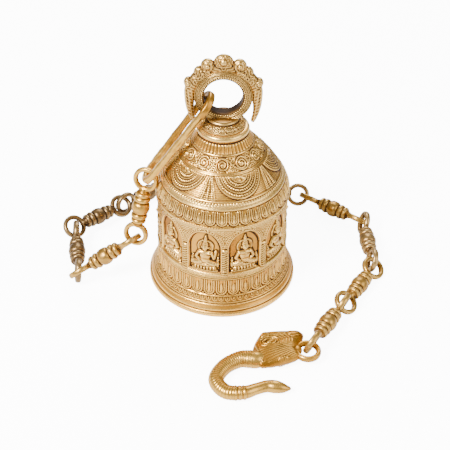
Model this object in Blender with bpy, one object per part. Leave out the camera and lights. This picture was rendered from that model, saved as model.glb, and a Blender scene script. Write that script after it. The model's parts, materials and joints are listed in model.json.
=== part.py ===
"""Temple bell that hangs on a chain of cast links with an elephant-head hook.

The bell stands mouth down with its chain laid around it on the same surface.
Lengths below are in millimetres and become metres when each mesh is made.
+Z is up, +X and +Y lie in the surface, and the bell stands at BELL_AT.
"""

import math
from collections import namedtuple

import bmesh
import bpy
from mathutils import Matrix, Vector

MM = 0.001
GAP = 0.3  # air left between touching pieces
BELL_AT = Vector((0.5, 12.4, 0.0))  # bell axis, so that the whole lies centred on the origin

# --- bell -----------------------------------------------------------------
BELL_SIDES = 40
LIP_R = 50.3
LIP_INNER_R = 46.0
CROWN_TOP = 120.4
CROWN_INNER_TOP = 113.6
BELL_OUTER = (  # radius, height, from the lip up to the crown
    (LIP_R, 0.0), (LIP_R, 3.4), (49.0, 4.4), (49.0, 5.6), (46.6, 9.0), (44.7, 14.0),
    (43.6, 20.0), (43.4, 27.0), (42.8, 40.0), (42.8, 64.0), (44.2, 70.0), (43.0, 76.0),
    (41.2, 81.0), (39.6, 84.0), (38.0, 86.5), (34.2, 91.5), (30.0, 97.0), (25.3, 103.0),
    (20.4, 108.5), (17.2, 113.0), (16.0, 116.2), (16.6, 118.6), (14.8, CROWN_TOP),
)
BELL_INNER = (  # radius, height, from the crown down to the lip
    (9.0, CROWN_INNER_TOP), (12.6, 111.6), (18.0, 104.5), (22.8, 99.5), (27.5, 93.5),
    (32.0, 87.0), (36.0, 80.0), (39.0, 72.0), (39.0, 26.0), (41.0, 12.0),
    (44.5, 4.5), (LIP_INNER_R, 0.0),
)

# --- crown ring, its stem and what holds it -------------------------------
RING_Z = 142.0
RING_MID_R = 15.0
RING_HALF_RADIAL = 3.1
RING_HALF_DEPTH = 4.8
STEM_R = 3.2
STEM_END = 97.4
STEM_EYE_Z = 101.0
STEM_EYE_R = 1.9
WASHER_R = 8.5
NUT_ACROSS_FLATS = 10.0
CREST_TOP = 169.8

# --- clapper --------------------------------------------------------------
HANGER_MID_R = 6.6
HANGER_BAR_R = 1.1
HANGER_SLACK = 0.4  # bar centre above the middle of the stem's eye, so its bends clear the eye
CLAPPER_EYE_MID_R = 4.1
CLAPPER_EYE_BAR_R = 1.3
CLAPPER_BALL_R = 9.0
CLAPPER_BALL_Z = 16.0

# --- chain ----------------------------------------------------------------
EYE_MID_R = 7.0
EYE_HALF_RADIAL = 1.6
EYE_HALF_DEPTH = 2.1
LINK_PITCH = 41.4  # one eye's centre to the other's
BARREL_R = 6.0
LONG_TOP = Vector((-7.8, 0.0, 140.2))  # bar centre of the upper bend, from the bell's axis
LONG_END = Vector((-49.6, -6.4, 81.9))  # bar centre of the lower bend
LONG_TOP_R = 8.4
LONG_END_R = 6.8
LONG_HALF = 2.4

# Each cast link in turn from the bell, in degrees and millimetres: heading and pitch of its
# axis, roll of its eyes from flat; then the step from the last link's eye to its own eye, as
# heading, pitch and length; and how far that eye is held up by the eye it lies on.
Lay = namedtuple("Lay", "heading pitch roll way dip reach lift")
CHAIN = (
    Lay(219, -76, 147, 0, 0, 0.0, 0.0),
    Lay(188, -33, 36, 180, -57, 8.2, 0.0),
    Lay(99, 0, 98, 123, 0, 4.0, 0.0),
    Lay(42, -3, 42, 108, 0, 4.2, 4.2),
    Lay(40, 0, 86, 43, 0, 4.7, 0.0),
    Lay(352, 0, -10, 23, 0, 8.2, 0.0),
    Lay(348, 0, 50, -3, 0, 8.1, 0.0),
    Lay(324, 0, 138, -23, 0, 9.9, 0.0),
    Lay(272, 0, 73, -61, 0, 7.5, 0.0),
    Lay(238, 0, 147, -84, 0, 5.2, 0.0),
    Lay(238, 0, 72, -122, 0, 5.4, 0.0),
)
FIRST_EYE = Vector((-49.6, -7.0, 81.5))  # upper eye of the first link, from the bell's axis
HANGING = -20  # links pitched more steeply than this are off the surface

# --- hook -----------------------------------------------------------------
HOOK_EYE_Z = 6.6
HOOK_HEADING = 190.0
HOOK_WAY = 242.0  # heading of the step from the last link's eye to the hook's eye
HOOK_REACH = 6.7
HEAD_TOP = 12.0
TRUNK = (  # from inside the head to the tip: forward of the hook's eye, aside, height, radius
    (22.0, 1.0, 6.4, 5.4), (31.5, 1.0, 6.4, 6.2), (44.0, -0.3, 6.0, 5.4), (54.0, 4.0, 5.5, 5.0),
    (60.8, 13.5, 5.2, 4.8), (56.5, 23.5, 5.0, 4.7), (46.0, 26.0, 4.9, 4.3), (37.5, 24.2, 4.8, 3.9),
    (31.0, 23.0, 4.8, 3.9), (24.5, 25.0, 4.9, 4.1), (16.5, 27.2, 4.6, 1.0),
)
HEAD_OUTLINE = (  # seen from above: forward, aside
    (3.0, -6.0), (-0.5, -13.5), (8.0, -18.0), (18.0, -19.5), (27.0, -16.0), (33.0, -9.3),
    (34.5, 1.0), (32.5, 7.5), (24.0, 8.5), (16.0, 7.5), (9.0, 6.0), (5.5, 3.5), (6.4, -1.0),
)


def clear_scene():
    """Take away every object that is in the file."""
    for obj in list(bpy.data.objects):
        bpy.data.objects.remove(obj, do_unlink=True)


def metal(name, colour, roughness):
    """A metallic Principled material."""
    mat = bpy.data.materials.new(name)
    mat.use_nodes = True
    shader = mat.node_tree.nodes["Principled BSDF"]
    shader.inputs["Base Color"].default_value = (*colour, 1.0)
    shader.inputs["Roughness"].default_value = roughness
    shader.inputs["Metallic"].default_value = 1.0
    return mat


# --- shapes ---------------------------------------------------------------
def to_mesh(bm, name):
    """Finish a bmesh: merge seams, face outward, and hand it over as a mesh."""
    bmesh.ops.remove_doubles(bm, verts=bm.verts, dist=0.001)
    bmesh.ops.dissolve_degenerate(bm, dist=0.001, edges=bm.edges)
    bmesh.ops.recalc_face_normals(bm, faces=bm.faces)
    mesh = bpy.data.meshes.new(name)
    bm.to_mesh(mesh)
    bm.free()
    return mesh


def turned(profile, sides, name="turned"):
    """Spin a closed or axis-to-axis outline of (radius, height) about Z."""
    bm = bmesh.new()
    verts = [bm.verts.new((r, 0.0, z)) for r, z in profile]
    edges = [bm.edges.new(pair) for pair in zip(verts, verts[1:])]
    if profile[0][0] > 0.0:
        edges.append(bm.edges.new((verts[-1], verts[0])))
    bmesh.ops.spin(bm, geom=verts + edges, axis=(0, 0, 1), cent=(0, 0, 0),
                   angle=2 * math.pi, steps=sides, use_merge=True)
    return to_mesh(bm, name)


def swept(stations, sides, closed, name="swept", phase=0.0):
    """Bridge elliptic rings along a path.

    Each station is (centre, tangent, across, half width along across, half height).
    """
    bm = bmesh.new()
    rings = []
    for centre, tangent, across, half_w, half_h in stations:
        t = tangent.normalized()
        a = (across - across.dot(t) * t).normalized()
        b = t.cross(a)
        turn = Matrix((a, b, t)).transposed().to_4x4()
        place = Matrix.Translation(centre) @ turn @ Matrix.Diagonal((half_w, half_h, 1.0, 1.0))
        made = bmesh.ops.create_circle(
            bm, cap_ends=not closed and not (rings and len(rings) < len(stations) - 1),
            radius=1.0, segments=sides, matrix=place @ Matrix.Rotation(phase, 4, "Z"))
        rings.append([e for e in {e for v in made["verts"] for e in v.link_edges}
                      if all(v in made["verts"] for v in e.verts)])
    pairs = list(zip(rings, rings[1:])) + ([(rings[-1], rings[0])] if closed else [])
    for low, high in pairs:
        bmesh.ops.bridge_loops(bm, edges=low + high)
    return to_mesh(bm, name)


def ring_mesh(mid_r, half_radial, half_depth, segments, sides, phase=0.0):
    """A round ring about Y, centred on its hole."""
    stations = []
    for i in range(segments):
        angle = 2 * math.pi * i / segments
        out = Vector((math.cos(angle), 0.0, math.sin(angle)))
        along = Vector((-math.sin(angle), 0.0, math.cos(angle)))
        stations.append((out * mid_r, along, out, half_radial, half_depth))
    return swept(stations, sides, closed=True, name="ring", phase=phase)


def smooth(points, per_span):
    """Catmull-Rom points through a list of equal-length tuples."""
    out = []
    last = len(points) - 1
    for i in range(last):
        p0, p1, p2, p3 = (points[max(0, min(last, i + k))] for k in (-1, 0, 1, 2))
        for step in range(per_span):
            t = step / per_span
            out.append(tuple(
                0.5 * (2 * b + (c - a) * t + (2 * a - 5 * b + 4 * c - d) * t * t
                       + (3 * b - a - 3 * c + d) * t ** 3)
                for a, b, c, d in zip(p0, p1, p2, p3)))
    out.append(tuple(points[-1]))
    return out


def horn(points, per_span, sides, across, flat=1.0):
    """A tapering bar through (x, y, z, radius) points; flat squeezes it along across."""
    line = smooth(points, per_span)
    at = [Vector(p[:3]) for p in line]
    stations = []
    for i, p in enumerate(line):
        ahead = at[min(i + 1, len(at) - 1)] - at[max(i - 1, 0)]
        stations.append((at[i], ahead, across, p[3] * flat, p[3]))
    return swept(stations, sides, closed=False, name="horn")


def ball(centre, radii, segments, rings):
    """A stretched ball."""
    bm = bmesh.new()
    bmesh.ops.create_uvsphere(bm, u_segments=segments, v_segments=rings, radius=1.0,
                              matrix=Matrix.Translation(centre) @ Matrix.Diagonal((*radii, 1.0)))
    return to_mesh(bm, "ball")


def slab(outline, low, high, bevel):
    """An outline in X and Y raised from low to high, its upper edge broken."""
    bm = bmesh.new()
    face = bm.faces.new([bm.verts.new((x, y, low)) for x, y in outline])
    made = bmesh.ops.extrude_face_region(bm, geom=[face])
    top = [v for v in made["geom"] if isinstance(v, bmesh.types.BMVert)]
    bmesh.ops.translate(bm, verts=top, vec=(0, 0, high - low))
    rim = [e for e in bm.edges if all(v in top for v in e.verts)]
    bmesh.ops.bevel(bm, geom=rim, offset=bevel, segments=2, affect="EDGES", profile=0.5)
    return to_mesh(bm, "slab")


def fused(name, meshes, cutters=()):
    """One mesh from overlapping meshes, less the cutters."""
    temps = [bpy.data.objects.new(f"temp_{name}", mesh) for mesh in (*meshes, *cutters)]
    for obj in temps:
        bpy.context.collection.objects.link(obj)
    for index, obj in enumerate(temps[1:], start=1):
        mod = temps[0].modifiers.new(f"join_{index}", "BOOLEAN")
        mod.operation = "UNION" if index < len(meshes) else "DIFFERENCE"
        mod.object = obj
    bpy.context.view_layer.update()
    solid = temps[0].evaluated_get(bpy.context.evaluated_depsgraph_get())
    mesh = bpy.data.meshes.new_from_object(solid)
    mesh.name = name
    for obj in temps:
        bpy.data.objects.remove(obj, do_unlink=True)
    return mesh


def moved(mesh, matrix):
    """The mesh after a transform."""
    mesh.transform(matrix)
    return mesh


def spot(x=0.0, y=0.0, z=0.0):
    """A shift in millimetres."""
    return Matrix.Translation((x, y, z))


# --- placing --------------------------------------------------------------
def node(name, mesh, mat, frame, pivot=None):
    """Add a sub-part.

    frame places the mesh in millimetres from the bell's axis. With a pivot, an empty
    stands on the joint's axis and carries the piece.
    """
    mesh = mesh.copy()
    scale = Matrix.Diagonal((MM, MM, MM, 1.0))
    world = Matrix.Translation(BELL_AT) @ frame
    hold = Matrix.Translation((world.translation if pivot is None else BELL_AT + pivot) * MM)
    mesh.transform(hold.inverted() @ scale @ world)
    mesh.materials.clear()
    mesh.materials.append(mat)
    mesh.shade_smooth()
    mesh.set_sharp_from_angle(angle=math.radians(40))
    obj = bpy.data.objects.new(name, mesh)
    bpy.context.collection.objects.link(obj)
    if pivot is None:
        obj.matrix_world = hold
    else:
        axle = bpy.data.objects.new(f"pivot_{name}", None)
        axle.empty_display_size = 0.005
        axle.location = hold.translation
        bpy.context.collection.objects.link(axle)
        obj.parent = axle
    return obj


# --- the bell and its crown -----------------------------------------------
def bell_body(mat):
    """The cast bell: one turned shell with a hole in its crown for the stem."""
    outline = (*BELL_OUTER, (STEM_R + GAP, CROWN_TOP), (STEM_R + GAP, CROWN_INNER_TOP), *BELL_INNER)
    return node("bell_body", turned(outline, BELL_SIDES), mat, Matrix())


def crest():
    """Three lobes over the ring, a shoulder, a knob and a tail on each side."""
    depth = Vector((0, 1, 0))
    pieces = [
        ball((0, 0, 163.4), (6.2, 3.4, CREST_TOP - 163.4), 12, 8),
        ball((0, 0, 160.0), (10.0, 3.0, 4.4), 12, 6),
    ]
    for side in (-1, 1):
        pieces += [
            ball((side * 9.4, 0, 162.0), (4.3, 3.0, 4.8), 10, 6),
            horn([(side * 8.0, 0, 158.2, 3.4), (side * 14.0, 0, 155.6, 3.6),
                  (side * 19.2, 0, 150.2, 3.4), (side * 21.3, 0, 140.5, 3.1),
                  (side * 20.9, 0, 130.5, 2.2), (side * 18.2, 0, 122.8, 1.1)], 3, 8, depth),
            ball((side * 21.6, 0, 150.6), (2.9, 3.4, 3.2), 8, 6),
        ]
    return pieces


def crown_ring(mat):
    """Ring with crest, foot and a stem that goes through the bell's crown."""
    ring = moved(ring_mesh(RING_MID_R, RING_HALF_RADIAL, RING_HALF_DEPTH, 28, 8,
                           math.pi / 8), spot(z=RING_Z))
    base = CROWN_TOP + GAP
    foot = turned([(0.0, 127.2), (8.8, 127.0), (9.8, 126.2), (10.4, 125.2), (11.8, 124.6), (13.4, 122.8),
                   (14.2, 121.8), (14.0, base), (0.0, base)][::-1], 24)
    stem = turned([(0.0, STEM_END), (STEM_R - 0.5, STEM_END), (STEM_R, STEM_END + 0.8),
                   (STEM_R, 122.0), (0.0, 122.0)], 12)
    bore = moved(turned([(0.0, -9.0), (STEM_EYE_R, -9.0), (STEM_EYE_R, 9.0), (0.0, 9.0)], 12),
                 spot(z=STEM_EYE_Z) @ Matrix.Rotation(math.pi / 2, 4, "X"))
    mesh = fused("crown_ring", [ring, foot, stem, *crest()], [bore])
    return node("crown_ring", mesh, mat, Matrix())


def crown_washer(mat):
    """Washer under the crown."""
    high = CROWN_INNER_TOP - GAP
    outline = [(STEM_R + GAP, high), (WASHER_R, high), (WASHER_R, high - 1.4), (STEM_R + GAP, high - 1.4)]
    return node("crown_washer", turned(outline, 20), mat, Matrix())


def crown_nut(mat):
    """Six-sided nut on the stem."""
    high = CROWN_INNER_TOP - 1.4 - 2 * GAP
    low = high - 4.5
    corner = NUT_ACROSS_FLATS / math.sqrt(3)
    bm = bmesh.new()
    bmesh.ops.create_cone(bm, cap_ends=True, segments=6, radius1=corner, radius2=corner,
                          depth=high - low, matrix=spot(z=(high + low) / 2))
    hole = turned([(0.0, low - 1), (STEM_R + GAP, low - 1), (STEM_R + GAP, high + 1),
                   (0.0, high + 1)], 12)
    return node("crown_nut", fused("nut", [to_mesh(bm, "nut")], [hole]), mat, Matrix())


# --- clapper --------------------------------------------------------------
def clapper(mat, dark):
    """A wire ring through the stem's eye, and the clapper that hangs on it."""
    hang = Vector((0, 0, STEM_EYE_Z + HANGER_SLACK))
    middle = hang - Vector((0, 0, HANGER_MID_R))
    wire = ring_mesh(HANGER_MID_R, HANGER_BAR_R, HANGER_BAR_R, 20, 6)
    turn = Matrix.Rotation(math.pi / 2, 4, "Z")
    node("clapper_hanger", wire, dark, Matrix.Translation(middle) @ turn, hang)
    low = middle - Vector((0, 0, HANGER_MID_R))
    slack = CLAPPER_EYE_MID_R - CLAPPER_EYE_BAR_R - HANGER_BAR_R - GAP
    eye_z = low.z - slack
    eye = moved(ring_mesh(CLAPPER_EYE_MID_R, CLAPPER_EYE_BAR_R, CLAPPER_EYE_BAR_R, 16, 6),
                spot(z=eye_z))
    rod_top = eye_z - CLAPPER_EYE_MID_R
    neck = CLAPPER_BALL_Z + CLAPPER_BALL_R
    rod = turned([(0.0, rod_top), (1.5, rod_top), (1.6, 60.0), (2.2, neck + 2.0), (3.4, neck - 2.0),
                  (3.4, neck - 4.0), (0.0, neck - 4.0)][::-1], 10)
    bob = ball((0, 0, CLAPPER_BALL_Z), (CLAPPER_BALL_R,) * 3, 16, 10)
    node("clapper", fused("clapper", [bob, rod, eye]), mat, Matrix(), low)


# --- chain ----------------------------------------------------------------
def long_link(mat):
    """Forged oval loop from the crown ring's limb to the first cast link."""
    along = (LONG_END - LONG_TOP).normalized()
    across = Vector((0, 1, 0)) - along.y * along
    across.normalize()
    first, last = LONG_TOP + along * LONG_TOP_R, LONG_END - along * LONG_END_R
    lean = math.asin((LONG_TOP_R - LONG_END_R) / (last - first).length)
    stations = []
    for centre, radius, start, stop, steps in (
            (first, LONG_TOP_R, -math.pi / 2 - lean, math.pi / 2 + lean, 10),
            (last, LONG_END_R, math.pi / 2 + lean, 3 * math.pi / 2 - lean, 9)):
        for i in range(steps + 1):
            angle = start + (stop - start) * i / steps
            out = -along * math.cos(angle) + across * math.sin(angle)
            tangent = along * math.sin(angle) + across * math.cos(angle)
            stations.append((centre + out * radius, tangent, out, LONG_HALF * 1.08, LONG_HALF * 1.08))
    mesh = swept(stations, 8, closed=True, name="long_link", phase=math.pi / 8)
    return node("long_link", mesh, mat, Matrix(), LONG_TOP)


def link_mesh():
    """A cast link along X: a barrel and four rings between two eyes in the XZ plane."""
    half = ((2.4, 13.8), (3.6, 11.4), (4.9, 9.8), (4.1, 8.2), (5.4, 6.5), (4.5, 5.0), (BARREL_R, 2.4))
    profile = [(0.0, -13.8), *((r, -x) for r, x in half), *half[::-1], (0.0, 13.8)]
    barrel = moved(turned(profile, 10), Matrix.Rotation(math.pi / 2, 4, "Y"))
    eyes = [moved(ring_mesh(EYE_MID_R, EYE_HALF_RADIAL, EYE_HALF_DEPTH, 16, 6), spot(x=side * LINK_PITCH / 2))
            for side in (-1, 1)]
    return fused("cast_link", [barrel, *eyes])


def heading_vector(heading, pitch=0.0):
    """Unit vector with this heading from +X and this pitch above level, in degrees."""
    turn, rise = math.radians(heading), math.radians(pitch)
    return Vector((math.cos(turn) * math.cos(rise), math.sin(turn) * math.cos(rise), math.sin(rise)))


def lay_axes(lay):
    """A link's axis, the direction across it in its eyes' plane, and the eyes' normal."""
    roll = math.radians(lay.roll)
    along = heading_vector(lay.heading, lay.pitch)
    level = heading_vector(lay.heading + 90)
    across = math.cos(roll) * level + math.sin(roll) * along.cross(level)
    return along, across, along.cross(across)


def rest_height(lay):
    """Height of a link's axis when it lies on the surface."""
    eyes = EYE_MID_R * abs(math.sin(math.radians(lay.roll))) + EYE_HALF_DEPTH
    return max(BARREL_R, eyes) + 0.15


def pivot_between(eye, normal, next_eye):
    """Centre of the eye's bar where the next link's eye holds it."""
    way = next_eye - eye
    way -= way.dot(normal) * normal
    return eye + way.normalized() * EYE_MID_R


def chain(mat, dark):
    """Lay the cast links one after another, each joined on the eye before it."""
    mesh = link_mesh()
    eye = FIRST_EYE
    pivot = LONG_END
    for number, lay in enumerate(CHAIN, start=1):
        along, across, normal = lay_axes(lay)
        far = eye + along * LINK_PITCH
        turn = Matrix((along, -normal, across)).transposed().to_4x4()
        frame = Matrix.Translation((eye + far) / 2) @ turn
        node(f"chain_link_{number:02d}", mesh, dark if 3 <= number <= 7 else mat, frame, pivot)
        if number < len(CHAIN):
            follow = CHAIN[number]
            eye = far + follow.reach * heading_vector(follow.way, follow.dip)
            if follow.pitch > HANGING:
                eye.z = rest_height(follow) + follow.lift
            pivot = pivot_between(far, normal, eye)
    return far, normal


# --- hook -----------------------------------------------------------------
def elephant_hook(mat, far, normal):
    """An elephant's head whose trunk curls into the hook, lying on its side."""
    forward, aside = heading_vector(HOOK_HEADING), heading_vector(HOOK_HEADING + 90)
    eye = far + HOOK_REACH * heading_vector(HOOK_WAY)
    eye.z = HOOK_EYE_Z
    ring = moved(ring_mesh(EYE_MID_R, EYE_HALF_RADIAL, EYE_HALF_DEPTH, 16, 8, math.pi / 8),
                 spot(z=HOOK_EYE_Z) @ Matrix.Rotation(math.pi / 2, 4, "X"))
    trunk = horn(TRUNK, 3, 10, Vector((0, 0, 1)), 0.98)
    head = slab(HEAD_OUTLINE, 0.6, HEAD_TOP, 3.0)
    mesh = fused("elephant_hook", [head, trunk, ring])
    frame = Matrix((forward, aside, Vector((0, 0, 1)))).transposed().to_4x4()
    frame.translation = Vector((eye.x, eye.y, 0.0))
    node("elephant_hook", mesh, mat, frame, pivot_between(far, normal, eye))


def main():
    clear_scene()
    brass = metal("aged_brass", (0.62, 0.43, 0.19), 0.42)
    gold = metal("golden_brass", (0.70, 0.48, 0.20), 0.36)
    brown = metal("tarnished_brass", (0.33, 0.22, 0.12), 0.5)
    bell_body(brass)
    crown_ring(brass)
    crown_washer(brown)
    crown_nut(brown)
    clapper(gold, brown)
    long_link(gold)
    far, normal = chain(gold, brown)
    elephant_hook(gold, far, normal)


if __name__ == "__main__":
    main()
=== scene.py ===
"""Looks of a cast brass temple bell, its chain of turned links and its elephant hook.

Shapes are worked out in millimetres and become metres when a mesh is made. Places come
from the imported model's nodes and joints. Angles round the bell start at its front (-Y) and
grow towards +X.
"""

import json
import logging
import math
from dataclasses import dataclass, field
from enum import Enum
from typing import Callable

import bpy
import numpy as np
from mathutils import Matrix, Vector

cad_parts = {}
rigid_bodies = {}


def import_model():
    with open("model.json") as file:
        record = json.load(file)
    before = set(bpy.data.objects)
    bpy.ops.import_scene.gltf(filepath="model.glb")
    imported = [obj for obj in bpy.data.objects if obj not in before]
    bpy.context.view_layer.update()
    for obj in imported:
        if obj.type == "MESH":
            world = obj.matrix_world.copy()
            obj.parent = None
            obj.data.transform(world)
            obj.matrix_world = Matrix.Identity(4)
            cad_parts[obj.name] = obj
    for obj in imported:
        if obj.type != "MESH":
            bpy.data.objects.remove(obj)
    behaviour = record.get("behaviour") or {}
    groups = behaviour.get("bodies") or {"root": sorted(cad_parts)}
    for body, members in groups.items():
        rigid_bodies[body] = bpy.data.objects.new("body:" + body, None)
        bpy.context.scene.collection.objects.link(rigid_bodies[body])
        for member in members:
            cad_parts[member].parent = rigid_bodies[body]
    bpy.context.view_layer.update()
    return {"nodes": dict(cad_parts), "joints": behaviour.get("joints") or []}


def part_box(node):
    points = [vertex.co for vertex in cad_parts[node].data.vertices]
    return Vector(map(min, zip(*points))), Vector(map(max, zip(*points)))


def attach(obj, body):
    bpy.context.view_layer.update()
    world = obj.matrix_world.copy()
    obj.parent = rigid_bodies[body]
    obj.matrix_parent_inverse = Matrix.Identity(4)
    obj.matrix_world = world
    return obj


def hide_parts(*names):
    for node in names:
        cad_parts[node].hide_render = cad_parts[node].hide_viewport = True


LOG = logging.getLogger("temple_bell")
MM = 0.001
TAU = 2.0 * math.pi
Array = np.ndarray


# --- small formulas --------------------------------------------------------
def smoothstep(x: Array, low: float, high: float) -> Array:
    """Rise smoothly from 0 at low to 1 at high: 3t^2 - 2t^3.

    Args: x: values. low, high: where the rise starts and ends.
    Returns: values from 0 to 1.
    """
    t = np.clip((x - low) / (high - low), 0.0, 1.0)
    return t * t * (3.0 - 2.0 * t)


def ridge(x: Array, half: float) -> Array:
    """A round ridge of height 1 along x = 0: squared cosine, 0 beyond half.

    Args: x: distance from the ridge. half: half its width.
    Returns: heights from 0 to 1.
    """
    return np.where(np.abs(x) < half, np.cos(0.5 * math.pi * x / half) ** 2, 0.0)


def bump(u: Array, v: Array, at: tuple[float, float], size: tuple[float, float]) -> Array:
    """Upper half of an ellipsoid of height 1: root of 1 - (du/a)^2 - (dv/b)^2.

    Args: u, v: places. at: its centre. size: its half widths a and b.
    Returns: heights from 0 to 1.
    """
    inside = 1.0 - ((u - at[0]) / size[0]) ** 2 - ((v - at[1]) / size[1]) ** 2
    return np.sqrt(np.clip(inside, 0.0, 1.0))


def limb(u: Array, v: Array, start: tuple[float, float], end: tuple[float, float], radius: float) -> Array:
    """A round bar of height 1 between two points: root of 1 - (distance/radius)^2.

    Args: u, v: places. start, end: its ends. radius: half its width.
    Returns: heights from 0 to 1.
    """
    du, dv = end[0] - start[0], end[1] - start[1]
    t = np.clip(((u - start[0]) * du + (v - start[1]) * dv) / (du * du + dv * dv), 0.0, 1.0)
    far = np.hypot(u - start[0] - t * du, v - start[1] - t * dv)
    return np.sqrt(np.clip(1.0 - (far / radius) ** 2, 0.0, 1.0))


def wrapped(x: Array, pitch: float) -> Array:
    """Distance from the nearest multiple of pitch, from -pitch/2 to pitch/2."""
    return x - pitch * np.round(x / pitch)


def beads(u: Array, v: Array, pitch: float, radius: float) -> Array:
    """A row of half balls along v = 0, one for each pitch of u.

    Args: u, v: along and across the row. pitch: centre to centre. radius: of a bead.
    Returns: heights from 0 to 1.
    """
    return bump(wrapped(u, pitch), v, (0.0, 0.0), (radius, radius))


def scroll(u: Array, v: Array, radius: float, pitch: float, hand: float) -> Array:
    """A spiral ridge: squared cosine of pi (distance/pitch - hand x angle/turn), inside a circle.

    Args: u, v: from the eye of the scroll. radius: of the circle. pitch: between two turns.
        hand: 1 or -1, the way that it winds.
    Returns: heights from 0 to 1.
    """
    far = np.hypot(u, v)
    turn = np.arctan2(v, u) / TAU * hand
    wave = np.cos(math.pi * (far / pitch - turn)) ** 2
    core = np.sqrt(np.clip(1.0 - (far / (0.75 * pitch)) ** 2, 0.0, 1.0))
    return np.maximum(wave * smoothstep(radius - far, 0.0, 0.3 * pitch), core)


def fish_scales(u: Array, v: Array, pitch: float) -> Array:
    """Rows of overlapping round scales: each row is half a pitch high and half a pitch aside.

    Args: u, v: places. pitch: width of a scale.
    Returns: heights from 0 at a scale's root to 1 at its rim.
    """
    row = np.floor(v / (0.5 * pitch))
    across = wrapped(u + 0.5 * pitch * np.mod(row, 2.0), pitch)
    up = v - row * 0.5 * pitch
    far = np.hypot(across, up - 0.5 * pitch) / (0.5 * pitch)
    return np.clip(far, 0.0, 1.0) ** 2


def catmull(points: Array, per_span: int) -> Array:
    """A Catmull-Rom curve through rows of numbers, worked out for all spans at once.

    Args: points: rows to pass through. per_span: steps in each span.
    Returns: rows of the smooth curve, ends included.
    """
    p = np.vstack([points[:1], points, points[-1:]])
    t = (np.arange(per_span) / per_span)[None, :, None]
    a, b, c, d = (p[k:len(p) - 3 + k, None, :] for k in range(4))
    span = 0.5 * (2 * b + (c - a) * t + (2 * a - 5 * b + 4 * c - d) * t**2
                  + (3 * b - a - 3 * c + d) * t**3)
    return np.vstack([span.reshape(-1, points.shape[1]), points[-1:]])


def signed_power(x: Array, power: float) -> Array:
    """The size of x to a power, with the sign of x, which squares off a round section."""
    return np.sign(x) * np.abs(x) ** power


def path_length(path: Array) -> Array:
    """Distance along a path from its start, at each of its points."""
    return np.concatenate([[0.0], np.cumsum(np.linalg.norm(np.diff(path, axis=0), axis=1))])


def outline_length(outline: Array) -> Array:
    """Distance along a flat outline from its start, at each of its points."""
    return np.concatenate([[0.0], np.cumsum(np.hypot(*np.diff(outline, axis=0).T))])


# --- surfaces --------------------------------------------------------------
@dataclass
class Skin:
    """A closed surface: vertices in millimetres, four-sided and three-sided faces."""

    verts: Array
    quads: Array
    tris: Array = field(default_factory=lambda: np.zeros((0, 3), int))

    def triangles(self) -> Array:
        """Every face as triangles."""
        q = self.quads
        return np.vstack([self.tris, q[:, [0, 1, 2]], q[:, [0, 2, 3]]]).astype(int)

    def outward(self) -> "Skin":
        """Turn the faces round if they enclose a negative volume.

        Returns: this skin, its faces pointing outwards.
        """
        a, b, c = (self.verts[self.triangles()[:, k]] for k in range(3))
        if np.einsum("ij,ij->i", a, np.cross(b, c)).sum() < 0.0:
            self.quads, self.tris = self.quads[:, ::-1], self.tris[:, ::-1]
        return self

    def placed(self, turn: Array, at: Array) -> "Skin":
        """A copy turned by a 3 by 3 matrix and then moved.

        Args: turn: rotation. at: shift in millimetres.
        Returns: the new skin.
        """
        return Skin(self.verts @ np.asarray(turn).T + np.asarray(at), self.quads, self.tris)

    def normals(self) -> Array:
        """Area-weighted unit normal at each vertex.

        Returns: rows of three.
        """
        faces = self.triangles()
        a, b, c = (self.verts[faces[:, k]] for k in range(3))
        flat = np.cross(b - a, c - a)
        total = np.stack([
            sum(np.bincount(faces[:, k], flat[:, axis], len(self.verts)) for k in range(3))
            for axis in range(3)], axis=1)
        return total / np.maximum(np.linalg.norm(total, axis=1, keepdims=True), 1e-9)

    def pushed(self, rise: Array) -> "Skin":
        """A copy with each vertex moved along its normal.

        Args: rise: distance for each vertex, in millimetres.
        Returns: the new skin.
        """
        return Skin(self.verts + self.normals() * rise[:, None], self.quads, self.tris)

    def hollows(self, reach: int, depth: float) -> Array:
        """How far each vertex lies in a recess: its neighbours' mean less itself, along the normal.

        Args: reach: rounds of averaging, which set the size of recess. depth: recess that counts as 1.
        Returns: from -1 on a ridge to 1 in a recess.
        """
        faces = self.triangles()
        start, end = (np.concatenate([faces[:, k] for k in order]) for order in ((0, 1, 2), (1, 2, 0)))
        count = np.maximum(np.bincount(start, minlength=len(self.verts)), 1)[:, None]
        mean = self.verts
        for _ in range(reach):
            total = [np.bincount(start, mean[end, axis], len(mean)) for axis in range(3)]
            mean = np.stack(total, axis=1) / count
        return np.clip(np.einsum("ij,ij->i", mean - self.verts, self.normals()) / depth, -1.0, 1.0)


def joined(skins: list[Skin]) -> Skin:
    """Several skins as one.

    Args: skins: the surfaces.
    Returns: one skin that holds them all.
    """
    starts = np.cumsum([0] + [len(s.verts) for s in skins[:-1]])
    return Skin(np.vstack([s.verts for s in skins]),
                np.vstack([s.quads + n for s, n in zip(skins, starts)]),
                np.vstack([s.tris + n for s, n in zip(skins, starts)]))


def woven(points: Array, path_closed: bool = False) -> Skin:
    """Faces between the rows of a grid of points, whose columns meet; open ends are closed with a fan.

    Args: points: rows x columns x 3. path_closed: the rows meet too.
    Returns: the closed skin, facing outwards.
    """
    rows, columns = points.shape[:2]
    index = np.arange(rows * columns).reshape(rows, columns)
    here = index if path_closed else index[:-1]
    there = np.roll(index, -1, axis=0) if path_closed else index[1:]
    quads = np.stack([here, np.roll(here, -1, axis=1), np.roll(there, -1, axis=1), there], axis=-1)
    quads = quads.reshape(-1, 4)
    verts = points.reshape(-1, 3)
    tris = np.zeros((0, 3), int)
    if not path_closed:
        n = len(verts)
        verts = np.vstack([verts, points[0].mean(0), points[-1].mean(0)])
        low = np.stack([np.full(columns, n), np.roll(index[0], -1), index[0]], axis=1)
        high = np.stack([np.full(columns, n + 1), index[-1], np.roll(index[-1], -1)], axis=1)
        tris = np.vstack([low, high])
    return Skin(verts, quads, tris).outward()


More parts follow.
